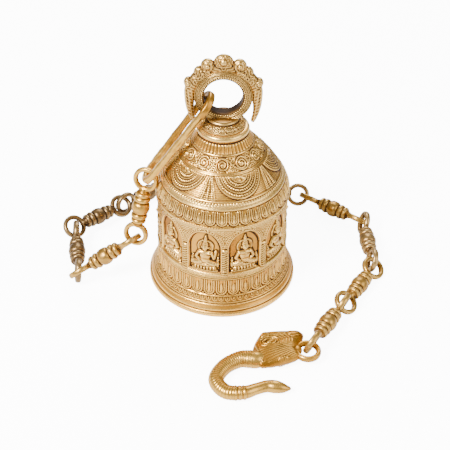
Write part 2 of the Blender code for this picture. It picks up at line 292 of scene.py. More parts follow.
def along_path(path: Array, across: Array, section: Callable[[Array, Array], tuple[Array, Array]],
               sides: int, closed: bool) -> Skin:
    """A section carried along a path.

    A point is path + across x first + (tangent x across) x second, with the section's two
    widths given for each step along the path and each angle round it.

    Args: path: points. across: the section's first direction, one or one for each point.
        section: gives the two widths from share along the path and angle. sides: points round
        the section. closed: the path's ends meet.
    Returns: the skin.
    """
    if closed:
        tangent = np.roll(path, -1, axis=0) - np.roll(path, 1, axis=0)
    else:
        tangent = np.gradient(path, axis=0)
    tangent /= np.linalg.norm(tangent, axis=1, keepdims=True)
    across = np.broadcast_to(across, path.shape)
    first = across - np.einsum("ij,ij->i", across, tangent)[:, None] * tangent
    first /= np.linalg.norm(first, axis=1, keepdims=True)
    second = np.cross(tangent, first)
    share = (np.arange(len(path)) / (len(path) if closed else len(path) - 1))[:, None]
    angle = (np.arange(sides) / sides * TAU)[None, :]
    wide, high = section(share, angle)
    points = path[:, None] + first[:, None] * wide[..., None] + second[:, None] * high[..., None]
    return woven(points, path_closed=closed)


def ring_path(radius: float, steps: int) -> tuple[Array, Array]:
    """A circle in the XZ plane.

    Args: radius: in millimetres. steps: points on it.
    Returns: its points, and the outward direction at each.
    """
    turn = np.arange(steps) / steps * TAU
    out = np.stack([np.cos(turn), np.zeros(steps), np.sin(turn)], axis=1)
    return out * radius, out


def eye_ring(radius: float, half_radial: float, half_depth: float, steps: int, sides: int) -> Skin:
    """A cast ring about Y with a softly squared section: signed powers 0.8 of cosine and sine.

    Args: radius: of the bar's middle. half_radial, half_depth: half widths. steps, sides: fineness.
    Returns: the skin.
    """
    path, out = ring_path(radius, steps)
    softness = 0.8

    def section(_: Array, angle: Array) -> tuple[Array, Array]:
        """Half widths at an angle, the same all along the ring.

        Args: angle: round the section.
        Returns: the radial and the sideways part.
        """
        ones = np.ones((steps, 1))
        return (ones * half_radial * signed_power(np.cos(angle), softness),
                ones * half_depth * signed_power(np.sin(angle), softness))

    return along_path(path, out, section, sides, closed=True)


def turned(profile: Array, sides: int) -> Skin:
    """An outline of (radius, height) that starts and ends on the axis, turned about Z.

    Args: profile: rows of radius and height. sides: points round it.
    Returns: the skin.
    """
    turn = np.arange(sides) / sides * TAU
    r, z = profile[:, :1], profile[:, 1:]
    return woven(np.stack([r * np.cos(turn), r * np.sin(turn), z * np.ones(sides)], axis=-1))


def ellipsoid(at: tuple[float, float, float], size: tuple[float, float, float], sides: int = 40) -> Skin:
    """A stretched ball: turned half circle, then scaled along each axis.

    Args: at: centre. size: half widths. sides: points round it.
    Returns: the skin.
    """
    turn = np.linspace(0.02, math.pi - 0.02, sides // 2)
    made = turned(np.stack([np.sin(turn), -np.cos(turn)], axis=1), sides)
    return Skin(made.verts * np.array(size) + np.array(at), made.quads, made.tris)


def horn(points: list[tuple[float, float, float, float]], across: tuple[float, float, float], flat: float,
         sides: int = 28) -> Skin:
    """A tapering bar through (x, y, z, radius) points, squeezed along across.

    Args: points: its middle line and radius. across: direction of the squeeze. flat: its share.
        sides: points round it.
    Returns: the skin.
    """
    line = catmull(np.array(points), 10)

    def section(_: Array, angle: Array) -> tuple[Array, Array]:
        """The bar's own radius at each step, squeezed one way."""
        return line[:, 3:] * flat * np.cos(angle), line[:, 3:] * np.sin(angle)

    return along_path(line[:, :3], np.array(across), section, sides, closed=False)


# --- meshes ----------------------------------------------------------------
def mesh_of(name: str, skin: Skin, hollow: Array | None = None) -> bpy.types.Mesh:
    """A mesh in metres from a skin in millimetres.

    Args: name: its name. skin: the surface. hollow: the recess value of each vertex, with any painted shade
    added.
    Returns: the mesh, shaded smooth.
    """
    mesh = bpy.data.meshes.new(name)
    mesh.vertices.add(len(skin.verts))
    mesh.vertices.foreach_set("co", (skin.verts * MM).astype(np.float32).ravel())
    corners = np.concatenate([skin.quads.ravel(), skin.tris.ravel()]).astype(np.int32)
    mesh.loops.add(len(corners))
    mesh.loops.foreach_set("vertex_index", corners)
    sizes = np.concatenate([np.full(len(skin.quads), 4), np.full(len(skin.tris), 3)])
    mesh.polygons.add(len(sizes))
    mesh.polygons.foreach_set("loop_start", np.concatenate([[0], np.cumsum(sizes)[:-1]]).astype(np.int32))
    mesh.update(calc_edges=True)
    mesh.validate()
    mesh.shade_smooth()
    if hollow is not None:
        layer = mesh.attributes.new("hollow", "FLOAT", "POINT")
        layer.data.foreach_set("value", hollow.astype(np.float32))
    return mesh


def coordinates(mesh: bpy.types.Mesh) -> Array:
    """A mesh's vertices in millimetres.

    Args: mesh: which mesh.
    Returns: rows of three.
    """
    verts = np.empty(len(mesh.vertices) * 3)
    mesh.vertices.foreach_get("co", verts)
    return verts.reshape(-1, 3) / MM


def corners_of(mesh: bpy.types.Mesh) -> Array:
    """A mesh's faces cut into triangles.

    Args: mesh: which mesh.
    Returns: rows of three vertex numbers.
    """
    mesh.calc_loop_triangles()
    tris = np.empty(len(mesh.loop_triangles) * 3, np.int32)
    mesh.loop_triangles.foreach_get("vertices", tris)
    return tris.reshape(-1, 3)


def shown(name: str, skin: Skin) -> bpy.types.Object:
    """A scratch object of a skin, in the scene.

    Args: name: its name. skin: its surface.
    Returns: the object.
    """
    obj = bpy.data.objects.new(name, mesh_of(name, skin))
    bpy.context.scene.collection.objects.link(obj)
    return obj


def modified(obj: bpy.types.Object) -> bpy.types.Mesh:
    """What an object's modifiers make of it.

    Args: obj: the object.
    Returns: a new mesh.
    """
    bpy.context.view_layer.update()
    return bpy.data.meshes.new_from_object(obj.evaluated_get(bpy.context.evaluated_depsgraph_get()))


def fused(skins: list[Skin], voxel: float, rounds: int = 2) -> Skin:
    """Overlapping skins as one even surface, its joins softened.

    Args: skins: what is joined. voxel: size of a face in millimetres. rounds: of smoothing.
    Returns: the fused skin.
    """
    obj = shown("fusing", joined(skins))
    melt = obj.modifiers.new("melt", "REMESH")
    melt.mode = "VOXEL"
    melt.voxel_size = voxel * MM
    soften = obj.modifiers.new("soften", "SMOOTH")
    soften.factor, soften.iterations = 0.5, rounds
    made = modified(obj)
    corners = np.empty(len(made.loops), np.int32)
    made.loops.foreach_get("vertex_index", corners)
    bpy.data.objects.remove(obj)
    if len(corners) != 4 * len(made.polygons):
        raise RuntimeError("the fused surface has faces that aren't four-sided")
    return Skin(coordinates(made), corners.reshape(-1, 4)).outward()


def lumps(points: Array, size: float, seed: int) -> Array:
    """Gentle unevenness of a casting: a sum of five sine waves with seeded directions.

    Args: points: places in millimetres. size: wavelength. seed: of the directions.
    Returns: values from about -1 to 1.
    """
    rng = np.random.default_rng(seed)
    ways = rng.normal(size=(5, 3))
    ways /= np.linalg.norm(ways, axis=1, keepdims=True)
    shift = rng.uniform(0.0, TAU, 5)
    return np.sin(points @ ways.T * (TAU / size) + shift).mean(axis=1)


# --- finishes --------------------------------------------------------------
class Slot(Enum):
    """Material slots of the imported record."""

    AGED = "aged_brass"
    GOLDEN = "golden_brass"
    TARNISHED = "tarnished_brass"


@dataclass(frozen=True)
class Finish:
    """One brass finish: its colours, how dark its recesses and its painted shade are, and how smooth it is.
    """

    name: str
    body: tuple[float, float, float]
    deep: tuple[float, float, float]
    worn: tuple[float, float, float]
    tint: tuple[float, float, float]
    grime_and_shade: float
    rub: float
    roughness: float
    metallic: float = 0.82
    grain: float = 0.12


BRASS = Finish("cast_brass", (0.60, 0.285, 0.032), (0.038, 0.013, 0.003), (1.0, 0.68, 0.20),
               (0.46, 0.20, 0.022), 0.98, 0.6, 0.31)
SKIRT = Finish("polished_brass", (0.72, 0.33, 0.03), (0.06, 0.021, 0.003), (1.0, 0.68, 0.18),
               (0.60, 0.26, 0.022), 0.97, 0.5, 0.32)
DUSKY = Finish("dusky_brass", (0.29, 0.138, 0.022), (0.025, 0.012, 0.005), (0.82, 0.54, 0.16),
               (0.21, 0.095, 0.016), 0.98, 0.6, 0.35)
GOLD = Finish("golden_brass", (0.44, 0.205, 0.016), (0.04, 0.014, 0.002), (0.90, 0.56, 0.12),
              (0.31, 0.13, 0.010), 0.97, 0.42, 0.34)
TAN = Finish("link_brass", (0.30, 0.142, 0.017), (0.03, 0.011, 0.002), (0.78, 0.49, 0.12),
             (0.21, 0.092, 0.012), 0.97, 0.42, 0.37)
BROWN = Finish("tarnished_brass", (0.17, 0.085, 0.022), (0.02, 0.009, 0.003), (0.55, 0.36, 0.13),
               (0.20, 0.098, 0.026), 0.97, 0.6, 0.38)
UMBER = Finish("brown_brass", (0.085, 0.043, 0.013), (0.012, 0.006, 0.002), (0.36, 0.23, 0.09),
               (0.11, 0.055, 0.018), 0.97, 0.55, 0.40)


class PatinaShop:
    """Makes the shared patina group once, and a material for each finish."""

    def __init__(self) -> None:
        """Build the group; materials follow on demand."""
        self.group = self._patina_group()
        self.made: dict[str, bpy.types.Material] = {}

    @staticmethod
    def _patina_group() -> bpy.types.ShaderNodeTree:
        """Colour, roughness and grain height of patinated brass.

        The recess value plus fine noise goes through two ramps: one darkens hollows with
        grime, and also lays painted shade where a piece adds it to the recess value, and one brightens
        rubbed ridges. Broad noise mixes body and tint colours.

        Returns: the node group.
        """
        tree = bpy.data.node_groups.new("brass_patina", "ShaderNodeTree")
        face = tree.interface
        colour_kind, number_kind = "NodeSocketColor", "NodeSocketFloat"
        for name in ("Body", "Deep", "Worn", "Tint"):
            face.new_socket(name=name, in_out="INPUT", socket_type=colour_kind)
        for name in ("Grime_and_Shade", "Rub", "Base Roughness"):
            face.new_socket(name=name, in_out="INPUT", socket_type=number_kind)
        for name, kind in (("Color", colour_kind), ("Roughness", number_kind), ("Height", number_kind)):
            face.new_socket(name=name, in_out="OUTPUT", socket_type=kind)
        nodes, links = tree.nodes, tree.links
        given, out = nodes.new("NodeGroupInput"), nodes.new("NodeGroupOutput")
        coords = nodes.new("ShaderNodeTexCoord")
        hollow = nodes.new("ShaderNodeAttribute")
        hollow.attribute_name = "hollow"

        def noise(scale: float, detail: float) -> bpy.types.NodeSocket:
            """Noise on object coordinates, its features about 1/scale metres wide.

            Args: scale, detail: the noise's settings.
            Returns: its value.
            """
            node = nodes.new("ShaderNodeTexNoise")
            node.inputs["Scale"].default_value = scale
            node.inputs["Detail"].default_value = detail
            links.new(coords.outputs["Object"], node.inputs["Vector"])
            return node.outputs["Fac"]

        def ramped(value: bpy.types.NodeSocket, low: float, high: float) -> bpy.types.NodeSocket:
            """Map low..high to 0..1 smoothly.

            Args: value: what is mapped. low, high: where the rise starts and ends.
            Returns: the mapped value.
            """
            node = nodes.new("ShaderNodeMapRange")
            node.interpolation_type = "SMOOTHSTEP"
            for key, number in (("From Min", low), ("From Max", high), ("To Min", 0.0), ("To Max", 1.0)):
                node.inputs[key].default_value = number
            links.new(value, node.inputs["Value"])
            return node.outputs["Result"]

        def maths(kind: str, a: bpy.types.NodeSocket,
                  b: bpy.types.NodeSocket | float) -> bpy.types.NodeSocket:
            """One arithmetic step.

            Args: kind: the operation. a, b: its two values.
            Returns: the result.
            """
            node = nodes.new("ShaderNodeMath")
            node.operation = kind
            links.new(a, node.inputs[0])
            if isinstance(b, float):
                node.inputs[1].default_value = b
            else:
                links.new(b, node.inputs[1])
            return node.outputs[0]

        def blended(share: bpy.types.NodeSocket, low: bpy.types.NodeSocket,
                    high: bpy.types.NodeSocket) -> bpy.types.NodeSocket:
            """Mix two colours.

            Args: share: of the second. low, high: the first and the second.
            Returns: the mixed colour.
            """
            node = nodes.new("ShaderNodeMix")
            node.data_type = "RGBA"
            links.new(share, node.inputs["Factor"])
            links.new(low, node.inputs[6])
            links.new(high, node.inputs[7])
            return node.outputs[2]

        broad, blotch, fine = noise(26.0, 3.0), noise(140.0, 4.0), noise(1500.0, 3.0)
        speckle = maths("MULTIPLY", maths("SUBTRACT", blotch, 0.5), 0.5)
        level = maths("ADD", hollow.outputs["Fac"], speckle)
        # Recess darkening: the patina of the hollows, plus painted shade where a piece adds it to the recess
        # value.
        grime_and_shade = maths("MULTIPLY", ramped(level, 0.04, 0.85), given.outputs["Grime_and_Shade"])
        rub = maths("MULTIPLY", ramped(maths("MULTIPLY", level, -1.0), 0.02, 0.7), given.outputs["Rub"])
        colour = blended(ramped(broad, 0.35, 0.68), given.outputs["Body"], given.outputs["Tint"])
        colour = blended(rub, colour, given.outputs["Worn"])
        colour = blended(grime_and_shade, colour, given.outputs["Deep"])
        rough = maths("ADD", given.outputs["Base Roughness"], maths("MULTIPLY", grime_and_shade, 0.3))
        rough = maths("ADD", rough, maths("MULTIPLY", maths("SUBTRACT", fine, 0.5), 0.22))
        rough = maths("SUBTRACT", rough, maths("MULTIPLY", rub, 0.10))
        height = maths("ADD", maths("MULTIPLY", fine, 0.6), maths("MULTIPLY", noise(520.0, 2.0), 0.9))
        for name, socket in (("Color", colour), ("Roughness", rough), ("Height", height)):
            links.new(socket, out.inputs[name])
        return tree

    def material(self, finish: Finish) -> bpy.types.Material:
        """The finish's material, made on first use.

        Args: finish: which brass.
        Returns: its material.
        """
        if finish.name in self.made:
            return self.made[finish.name]
        mat = bpy.data.materials.new(finish.name)
        mat.use_nodes = True
        nodes, links = mat.node_tree.nodes, mat.node_tree.links
        shader = nodes["Principled BSDF"]
        shader.inputs["Metallic"].default_value = finish.metallic
        patina = nodes.new("ShaderNodeGroup")
        patina.node_tree = self.group
        for key, colour in (("Body", finish.body), ("Deep", finish.deep), ("Worn", finish.worn),
                            ("Tint", finish.tint)):
            patina.inputs[key].default_value = (*colour, 1.0)
        for key, number in (("Grime_and_Shade", finish.grime_and_shade), ("Rub", finish.rub),
                            ("Base Roughness", finish.roughness)):
            patina.inputs[key].default_value = number
        grain = nodes.new("ShaderNodeBump")
        grain.inputs["Strength"].default_value = finish.grain
        grain.inputs["Distance"].default_value = 0.0006
        links.new(patina.outputs["Height"], grain.inputs["Height"])
        links.new(patina.outputs["Color"], shader.inputs["Base Color"])
        links.new(patina.outputs["Roughness"], shader.inputs["Roughness"])
        links.new(grain.outputs["Normal"], shader.inputs["Normal"])
        self.made[finish.name] = mat
        return mat


@dataclass
class Workshop:
    """Puts finished pieces into the scene and onto their bodies."""

    shop: PatinaShop

    def add(self, name: str, skin: Skin, finish: Finish, body: str, slot: Slot, stands_for: tuple[str, ...],
            reach: int = 6, depth: float = 0.28, extra: Array | float = 0.0) -> bpy.types.Object:
        """Make an object of a skin, dress it, and let it ride on its body.

        Args: name: the piece. skin: its surface. finish: its brass. body: what it moves with.
            slot: not used. stands_for: CAD nodes that it replaces. reach, depth: size of
                recess that gathers grime. extra: more of the recess value, at each vertex.
        Returns: the object.
        """
        # The extra value carries painted shade where a piece passes it, as the hoop and the long link do.
        mesh = mesh_of(name, skin, np.clip(skin.hollows(reach, depth) + extra, -1.0, 1.0))
        mesh.materials.append(self.shop.material(finish))
        obj = bpy.data.objects.new(name, mesh)
        bpy.context.scene.collection.objects.link(obj)
        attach(obj, body)
        if stands_for:
            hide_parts(*stands_for)
        LOG.info("%s: %d faces on %s", name, len(mesh.polygons), body)
        return obj


# --- the bell --------------------------------------------------------------
@dataclass
class Worshipper:
    """A small seated figure in relief, in millimetres from the middle of its pedestal."""

    raised: bool
    lean: float = 0.0

    def height(self, u: Array, v: Array) -> Array:
        """The figure's relief: the greatest of ellipsoids, bars and a cone.

        Args: u, v: across and up from the pedestal's foot.
        Returns: heights in millimetres above the niche's floor.
        """
        x = u - self.lean * v * 0.03
        side = np.abs(x)
        parts = [
            1.5 * smoothstep(9.2 - side, 0.0, 0.7) * ridge(v - 0.9, 1.0),
            1.7 * smoothstep(8.2 - side, 0.0, 0.7) * smoothstep(v, 1.4, 1.9) * smoothstep(4.4 - v, 0.0, 0.6)
            * (0.72 + 0.28 * np.cos(u * TAU / 2.1)),
            1.9 * limb(side, v, (0.6, 5.6), (6.4, 6.2), 1.35),
            2.5 * limb(side, v, (2.2, 8.2), (6.6, 6.6), 1.7),
            2.2 * bump(side, v, (6.9, 6.7), (1.9, 1.7)),
            2.5 * bump(x, v, (0.0, 9.6), (3.3, 2.7)),
            2.4 * bump(x, v, (0.0, 13.6), (3.9, 4.3)),
            2.3 * limb(side, v, (0.5, 16.2), (3.9, 15.9), 1.35),
            1.9 * limb(side, v, (4.4, 15.6), (6.1, 11.6), 1.15),
            1.7 * bump(side, v, (8.7, 6.6), (1.2, 2.6)),
            1.8 * bump(side, v, (8.7, 9.9), (1.0, 1.1)),
            1.2 * bump(side, v, (8.7, 11.4), (0.5, 1.0)),
            2.1 * bump(x, v, (0.0, 17.9), (1.2, 1.4)),
            2.9 * bump(x, v, (0.0, 20.3), (2.15, 2.7)),
            1.6 * bump(side, v, (2.3, 20.0), (0.6, 1.1)),
        ]
        if self.raised:
            parts += [1.7 * limb(x, v, (6.1, 11.6), (7.0, 15.6), 1.0),
                      1.8 * bump(x, v, (7.0, 16.6), (1.1, 1.5)),
                      1.9 * limb(x, v, (-6.1, 11.6), (-3.2, 8.6), 1.0)]
        else:
            parts += [1.9 * limb(side, v, (6.1, 11.6), (3.0, 8.8), 1.0),
                      2.1 * bump(x, v, (0.0, 8.6), (1.8, 1.2))]
        crown_foot = 22.0
        up = np.clip(v - crown_foot, 0.0, 8.0)
        crown_half = 2.3 - 0.25 * up
        crown = np.sqrt(np.clip(1.0 - (x / np.maximum(crown_half, 0.2)) ** 2, 0.0, 1.0))
        crown = crown * smoothstep(v, 21.6, 22.2) * smoothstep(30.2 - v, 0.0, 0.5)
        tiers = 0.88 + 0.12 * np.cos((v - crown_foot) * TAU / 1.7)
        parts.append(crown * (2.5 - 0.16 * up) * tiers)
        far = np.hypot(x, v - 20.4)
        parts.append(0.9 * ridge(far - 5.1, 0.75) * smoothstep(v, 17.0, 18.0))
        parts.append(0.5 * smoothstep(5.0 - far, 0.0, 0.4))
        shape = np.maximum.reduce(np.broadcast_arrays(*parts))
        nose, eyes = bump(x, v, (0.0, 20.1), (0.45, 0.9)), bump(side, v, (0.85, 20.7), (0.5, 0.32))
        shape = shape + 0.30 * nose - 0.22 * eyes
        shape = shape + 0.14 * ridge(v - 18.9, 0.28) * (side < 0.8)
        necklace = ridge(np.hypot(x, v - 18.4) - 3.4, 0.32) + ridge(np.hypot(x, v - 18.4) - 4.6, 0.28)
        shape = shape + 0.28 * necklace * (v < 17.2) * (side < 3.2)
        return shape + 0.25 * ridge(v - 11.1, 0.35) * (side < 3.2)


def bell_place() -> tuple[Array, float]:
    """The bell's axis, as a point at height 0, and its crown's height, in millimetres."""
    low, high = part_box("bell_body")
    return np.array([(low.x + high.x) / 2, (low.y + high.y) / 2, 0.0]) / MM, high.z / MM


@dataclass
class Bell:
    """The cast bell: four bands of relief on a turned shell, in millimetres."""

    petals: int = 36
    skirt_petals: int = 34
    swags: int = 5
    swag_at: float = 21.0
    niches: int = 10
    niche_at: float = 20.7
    skirt_top: float = 32.0
    arcade_top: float = 70.9
    petals_top: float = 86.95
    crown_length: float = 120.0
    outer: tuple[tuple[float, float], ...] = (
        (46.0, 0.0), (49.4, 0.0), (50.3, 0.9), (50.3, 2.7), (49.7, 3.7), (48.9, 4.3), (49.0, 5.6),
        (48.3, 6.6),
        (46.6, 9.0), (44.7, 14.0), (43.6, 20.0), (43.4, 27.0), (42.8, 40.0), (42.8, 64.0), (44.0, 69.5),
        (43.2, 76.0), (41.2, 81.0), (39.6, 84.0), (38.0, 86.5), (34.2, 91.5), (30.0, 97.0), (25.3, 103.0),
        (20.4, 108.5), (18.4, 111.2), (17.0, 113.6), (16.1, 115.4), (15.8, 116.0), (16.5, 116.9),
        (16.9, 118.3), (16.2, 119.8), (14.8, 120.4), (3.5, 120.4))
    inner: tuple[tuple[float, float], ...] = (
        (3.5, 113.6), (9.0, 113.6), (12.6, 111.6), (18.0, 104.5), (22.8, 99.5), (27.5, 93.5), (32.0, 87.0),
        (36.0, 80.0), (38.6, 72.0), (38.6, 26.0), (41.0, 12.0), (44.5, 4.5))

    def __post_init__(self) -> None:
        """Find the bell's axis, and lay its outline out by length from the mouth's inner edge."""
        self.at = bell_place()[0]
        self.length = outline_length(np.array(self.outer))
        self.lip = float(self.length[2]) - 0.9

    def station(self, s: Array) -> tuple[Array, Array, Array, Array]:
        """Outline at a length: linear between its points, softened over 1 mm past the sharp lip.

        The normal is square to the outline's chord over 1.6 mm.

        Args: s: lengths from the inner edge of the lip.
        Returns: radius, height, and the outward normal's two parts.
        """
        points = np.array(self.outer)
        sharp_until, reach, shifts = 5.0, 0.8, (-0.5, -0.2, 0.2, 0.5)

        def at(shift: float, column: int) -> Array:
            """Radius (column 0) or height (column 1) of the outline, a little further along."""
            return np.interp(s + shift, self.length, points[:, column])

        soft = [sum(at(shift, column) for shift in shifts) / len(shifts) for column in (0, 1)]
        r, z = (np.where(s < sharp_until, at(0.0, column), soft[column]) for column in (0, 1))
        dr, dz = (at(reach, column) - at(-reach, column) for column in (0, 1))
        size = np.maximum(np.hypot(dr, dz), 1e-6)
        return r, z, dz / size, -dr / size

    def band(self, low: float, high: float, step: float, relief: Callable[[Array, Array, Array], Array],
             columns: int) -> Skin:
        """A closed ring of the shell between two lengths, its outside raised by a relief.

        Args: low, high: lengths along the outline. step: between rows. relief: gives millimetres
            from angle, length and radius. columns: points round it.
        Returns: the skin, in place.
        """
        s = np.linspace(low, high, max(8, int((high - low) / step)))[:, None]
        phi = (np.arange(columns) / columns * TAU)[None, :]
        r, z, nr, nz = self.station(s)
        rise = relief(phi, s, r)
        radius, height = r + rise * nr, z + rise * nz
        height = np.maximum(height, 0.0)
        z_low, z_high = float(z[0, 0]), float(z[-1, 0])
        lining = np.array(self.inner)
        between = lining[(lining[:, 1] > z_low + 0.5) & (lining[:, 1] < z_high - 0.2)]
        edges = [(np.interp(h, lining[::-1, 1], lining[::-1, 0]), h) for h in (z_high, z_low)]
        is_crown, is_mouth = high > self.crown_length, low < 1.0
        back = np.array([*([] if is_crown else edges[:1]), *between, *([] if is_mouth else edges[1:])])
        ones = np.ones((1, columns))
        radius = np.vstack([radius, back[:, :1] * ones])
        height = np.vstack([height, back[:, 1:] * ones])
        points = np.stack([radius * np.sin(phi), -radius * np.cos(phi), height], axis=-1) + self.at
        return woven(points, path_closed=True)

    def dome_relief(self, phi: Array, s: Array, r: Array) -> Array:
        """Pleats, vine scrolls, swags with drapes, and a row of beads, top to bottom.

        Args: phi: angle from the front. s: length along the outline. r: radius there.
        Returns: millimetres of relief.
        """
        z = s - self.lip + 1.5 * smoothstep(s - self.lip, 100.0, 112.0)
        pleats = 0.62 * np.abs(np.cos(phi * 24)) ** 0.6 - 0.2
        rise = pleats * smoothstep(z, 121.0, 121.6) * smoothstep(127.4 - z, 0.0, 0.5)
        for at in (120.6, 108.9, 107.7):
            rise = rise + 0.42 * ridge(z - at, 0.55)
        rise = rise + self.vine(phi, z)
        rise = rise + self.swag(phi, z, r)
        count = 126
        rise = rise + 0.45 * beads(phi * 38.2, z - 88.7, TAU * 38.2 / count, 0.82)
        rise = rise + 0.42 * ridge(z - 90.2, 0.55) + 0.34 * ridge(z - 87.3, 0.5)
        return rise

    @staticmethod
    def vine(phi: Array, z: Array) -> Array:
        """Twelve spirals with small leaves on a waving stem, wound by turns to the right and left.

        Args: phi: angle. z: length along the outline from the lip.
        Returns: millimetres of relief.
        """
        middle, radius, count = 114.8, 25.0, 12
        cell = wrapped(phi, TAU / count)
        hand = np.where(np.mod(np.round(phi / (TAU / count)), 2) == 0, 1.0, -1.0)
        u, v = cell * radius, z - middle
        inside = smoothstep(v, -4.9, -4.5) * smoothstep(4.9 - v, 0.0, 0.4)
        curl = scroll(u * hand, v, 4.9, 1.75, 1.0)
        leaf = ridge(wrapped(np.hypot(np.abs(u) - 6.5, v + 4.0 * hand), 1.25), 0.45)
        leaf = leaf * smoothstep(np.hypot(u, v), 4.8, 5.2)
        veins = ridge(wrapped(np.hypot(np.abs(u) - 6.5, v - 4.0 * hand) + 0.4, 1.5), 0.4)
        veins = veins * smoothstep(np.hypot(u, v), 4.8, 5.2) * 0.7
        stem = ridge(v - 4.3 * np.cos(phi * count / 2), 0.7)
        growth = np.maximum(0.6 * np.maximum(leaf, veins), 0.85 * stem * (np.hypot(u, v) > 3.6))
        return inside * (np.maximum(0.85 * curl, growth) - 0.3)

    def swag(self, phi: Array, z: Array, r: Array) -> Array:
        """Half-round swags of nested beaded bands, with a folded drape between each two.

        Args: phi: angle. z: length along the outline from the lip. r: radius there.
        Returns: millimetres of relief.
        """
        pitch = TAU / self.swags
        cell = wrapped(phi - math.radians(self.swag_at), pitch)
        u = cell * (0.55 * r + 0.45 * 31.0)
        down = 107.2 - z
        far = np.hypot(u / 15.6, down / 15.8)
        around = np.arctan2(down, u) * 15.7 * far
        inside = smoothstep(z, 90.9, 91.3) * smoothstep(107.2 - z, 0.0, 0.4)
        bands = 0.75 * ridge(far - 0.97, 0.045) + 0.45 * ridge(far - 0.76, 0.03)
        bands = bands + 0.40 * ridge(far - 0.54, 0.03)
        bands = bands + 0.40 * ridge(far - 0.335, 0.028)
        bands = bands + 0.45 * (far < 1.0) * smoothstep(1.0 - far, 0.0, 0.08)
        for at, pitch_mm, size in ((0.87, 1.55, 0.66), (0.65, 1.4, 0.58), (0.44, 1.25, 0.5)):
            along = around * at / np.maximum(far, 0.05)
            bands = bands + 0.45 * beads(along, (far - at) * 15.7, pitch_mm, size)
        petal = np.abs(np.cos(3.5 * np.arctan2(down, u))) * (far < 0.30) * smoothstep(far, 0.04, 0.12)
        bands = bands + 0.35 * petal + 0.5 * bump(u, down, (0.0, 1.2), (1.3, 1.3))
        aside = wrapped(phi - math.radians(self.swag_at) - pitch / 2, pitch) * r
        half = 0.9 + 0.27 * down
        drape = smoothstep(half - np.abs(aside), 0.0, 0.4) * (far > 1.03)
        folds = 0.55 + 0.35 * np.cos(aside / half * TAU * 1.5) + 0.16 * np.cos(down * TAU / 1.3)
        edge = 0.5 * ridge(np.abs(aside) - half, 0.4) * (far > 1.03)
        tip = 0.5 * ridge(down - 15.4, 0.5) * drape
        return inside * (np.where(far < 1.02, bands, 0.0) + drape * folds * 0.75 + edge + tip
                         + 0.10 * (far > 1.03) * np.cos(down * TAU / 1.1 + 6.0 * np.abs(aside) / r))

    @staticmethod
    def nested_petals(phi: Array, v: Array, count: int, radius: float, tall: float) -> Array:
        """Petals that hang from a line, each of nested U shapes round a tongue.

        Args: phi: angle. v: height above the petals' feet. count: how many. radius: of the bell
            there. tall: their height.
        Returns: millimetres of relief.
        """
        pitch = TAU * radius / count
        u = wrapped(phi * radius, pitch)
        half, foot = 0.46 * pitch, 0.5 * pitch
        lower = np.hypot(u / half, np.minimum(v - foot, 0.0) / foot)
        far = np.where(v < foot, lower, np.abs(u) / half)
        inside = smoothstep(v, -0.5, 0.1) * smoothstep(tall - v, 0.0, 0.5)
        shape = 0.55 * ridge(far - 0.86, 0.16) + 0.42 * ridge(far - 0.50, 0.13) + 0.5 * bump(
            u, v, (0.0, 0.42 * tall), (0.26 * half, 0.36 * tall)) - 0.5 * smoothstep(far, 1.0, 1.1)
        bud = 0.35 * bump(np.abs(u) - 0.5 * pitch, v, (0.0, 0.6), (0.55, 0.9))
        return inside * (shape + bud)

    def crown_petal_relief(self, phi: Array, s: Array, r: Array) -> Array:
        """A plain roll, petals, and a cord, top to bottom.

        Args: phi: angle from the front. s: length along the outline. r: not used.
        Returns: millimetres of relief.
        """
        z = s - self.lip
        rise = 0.55 * ridge(z - 85.6, 1.3) + self.nested_petals(phi, z - 74.6, self.petals, 43.3, 9.6)
        slant = 0.20 * np.cos(phi * 150 + z * 3.2)
        return rise + (0.55 + slant) * ridge(z - 72.8, 0.8) + 0.2 * ridge(z - 71.4, 0.4)

    def skirt_relief(self, phi: Array, s: Array, r: Array) -> Array:
        """Two lines, long petals, a row of scallops, and the plain stepped lip.

        Args: phi: angle from the front. s: length along the outline. r: not used.
        Returns: millimetres of relief.
        """
        z = s - self.lip
        rise = 0.45 * ridge(z - 31.0, 0.6) + 0.45 * ridge(z - 29.6, 0.5)
        rise = rise + self.nested_petals(phi, z - 16.9, self.skirt_petals, 44.4, 12.0)
        rise = rise + 0.35 * ridge(z - 16.0, 0.45) + 0.35 * ridge(z - 11.3, 0.5)
        radius, count = 45.4, 68
        u = wrapped(phi * radius, TAU * radius / count)
        scallop = np.hypot(u / 1.9, (z - 15.2) / 3.0)
        row = smoothstep(z, 11.7, 12.1) * smoothstep(15.6 - z, 0.0, 0.3)
        rise = rise + row * (0.34 * ridge(scallop - 0.88, 0.2) + 0.3 * bump(u, z, (0.0, 14.2), (0.7, 0.8)))
        return rise + 0.28 * ridge(z - 9.6, 0.8)

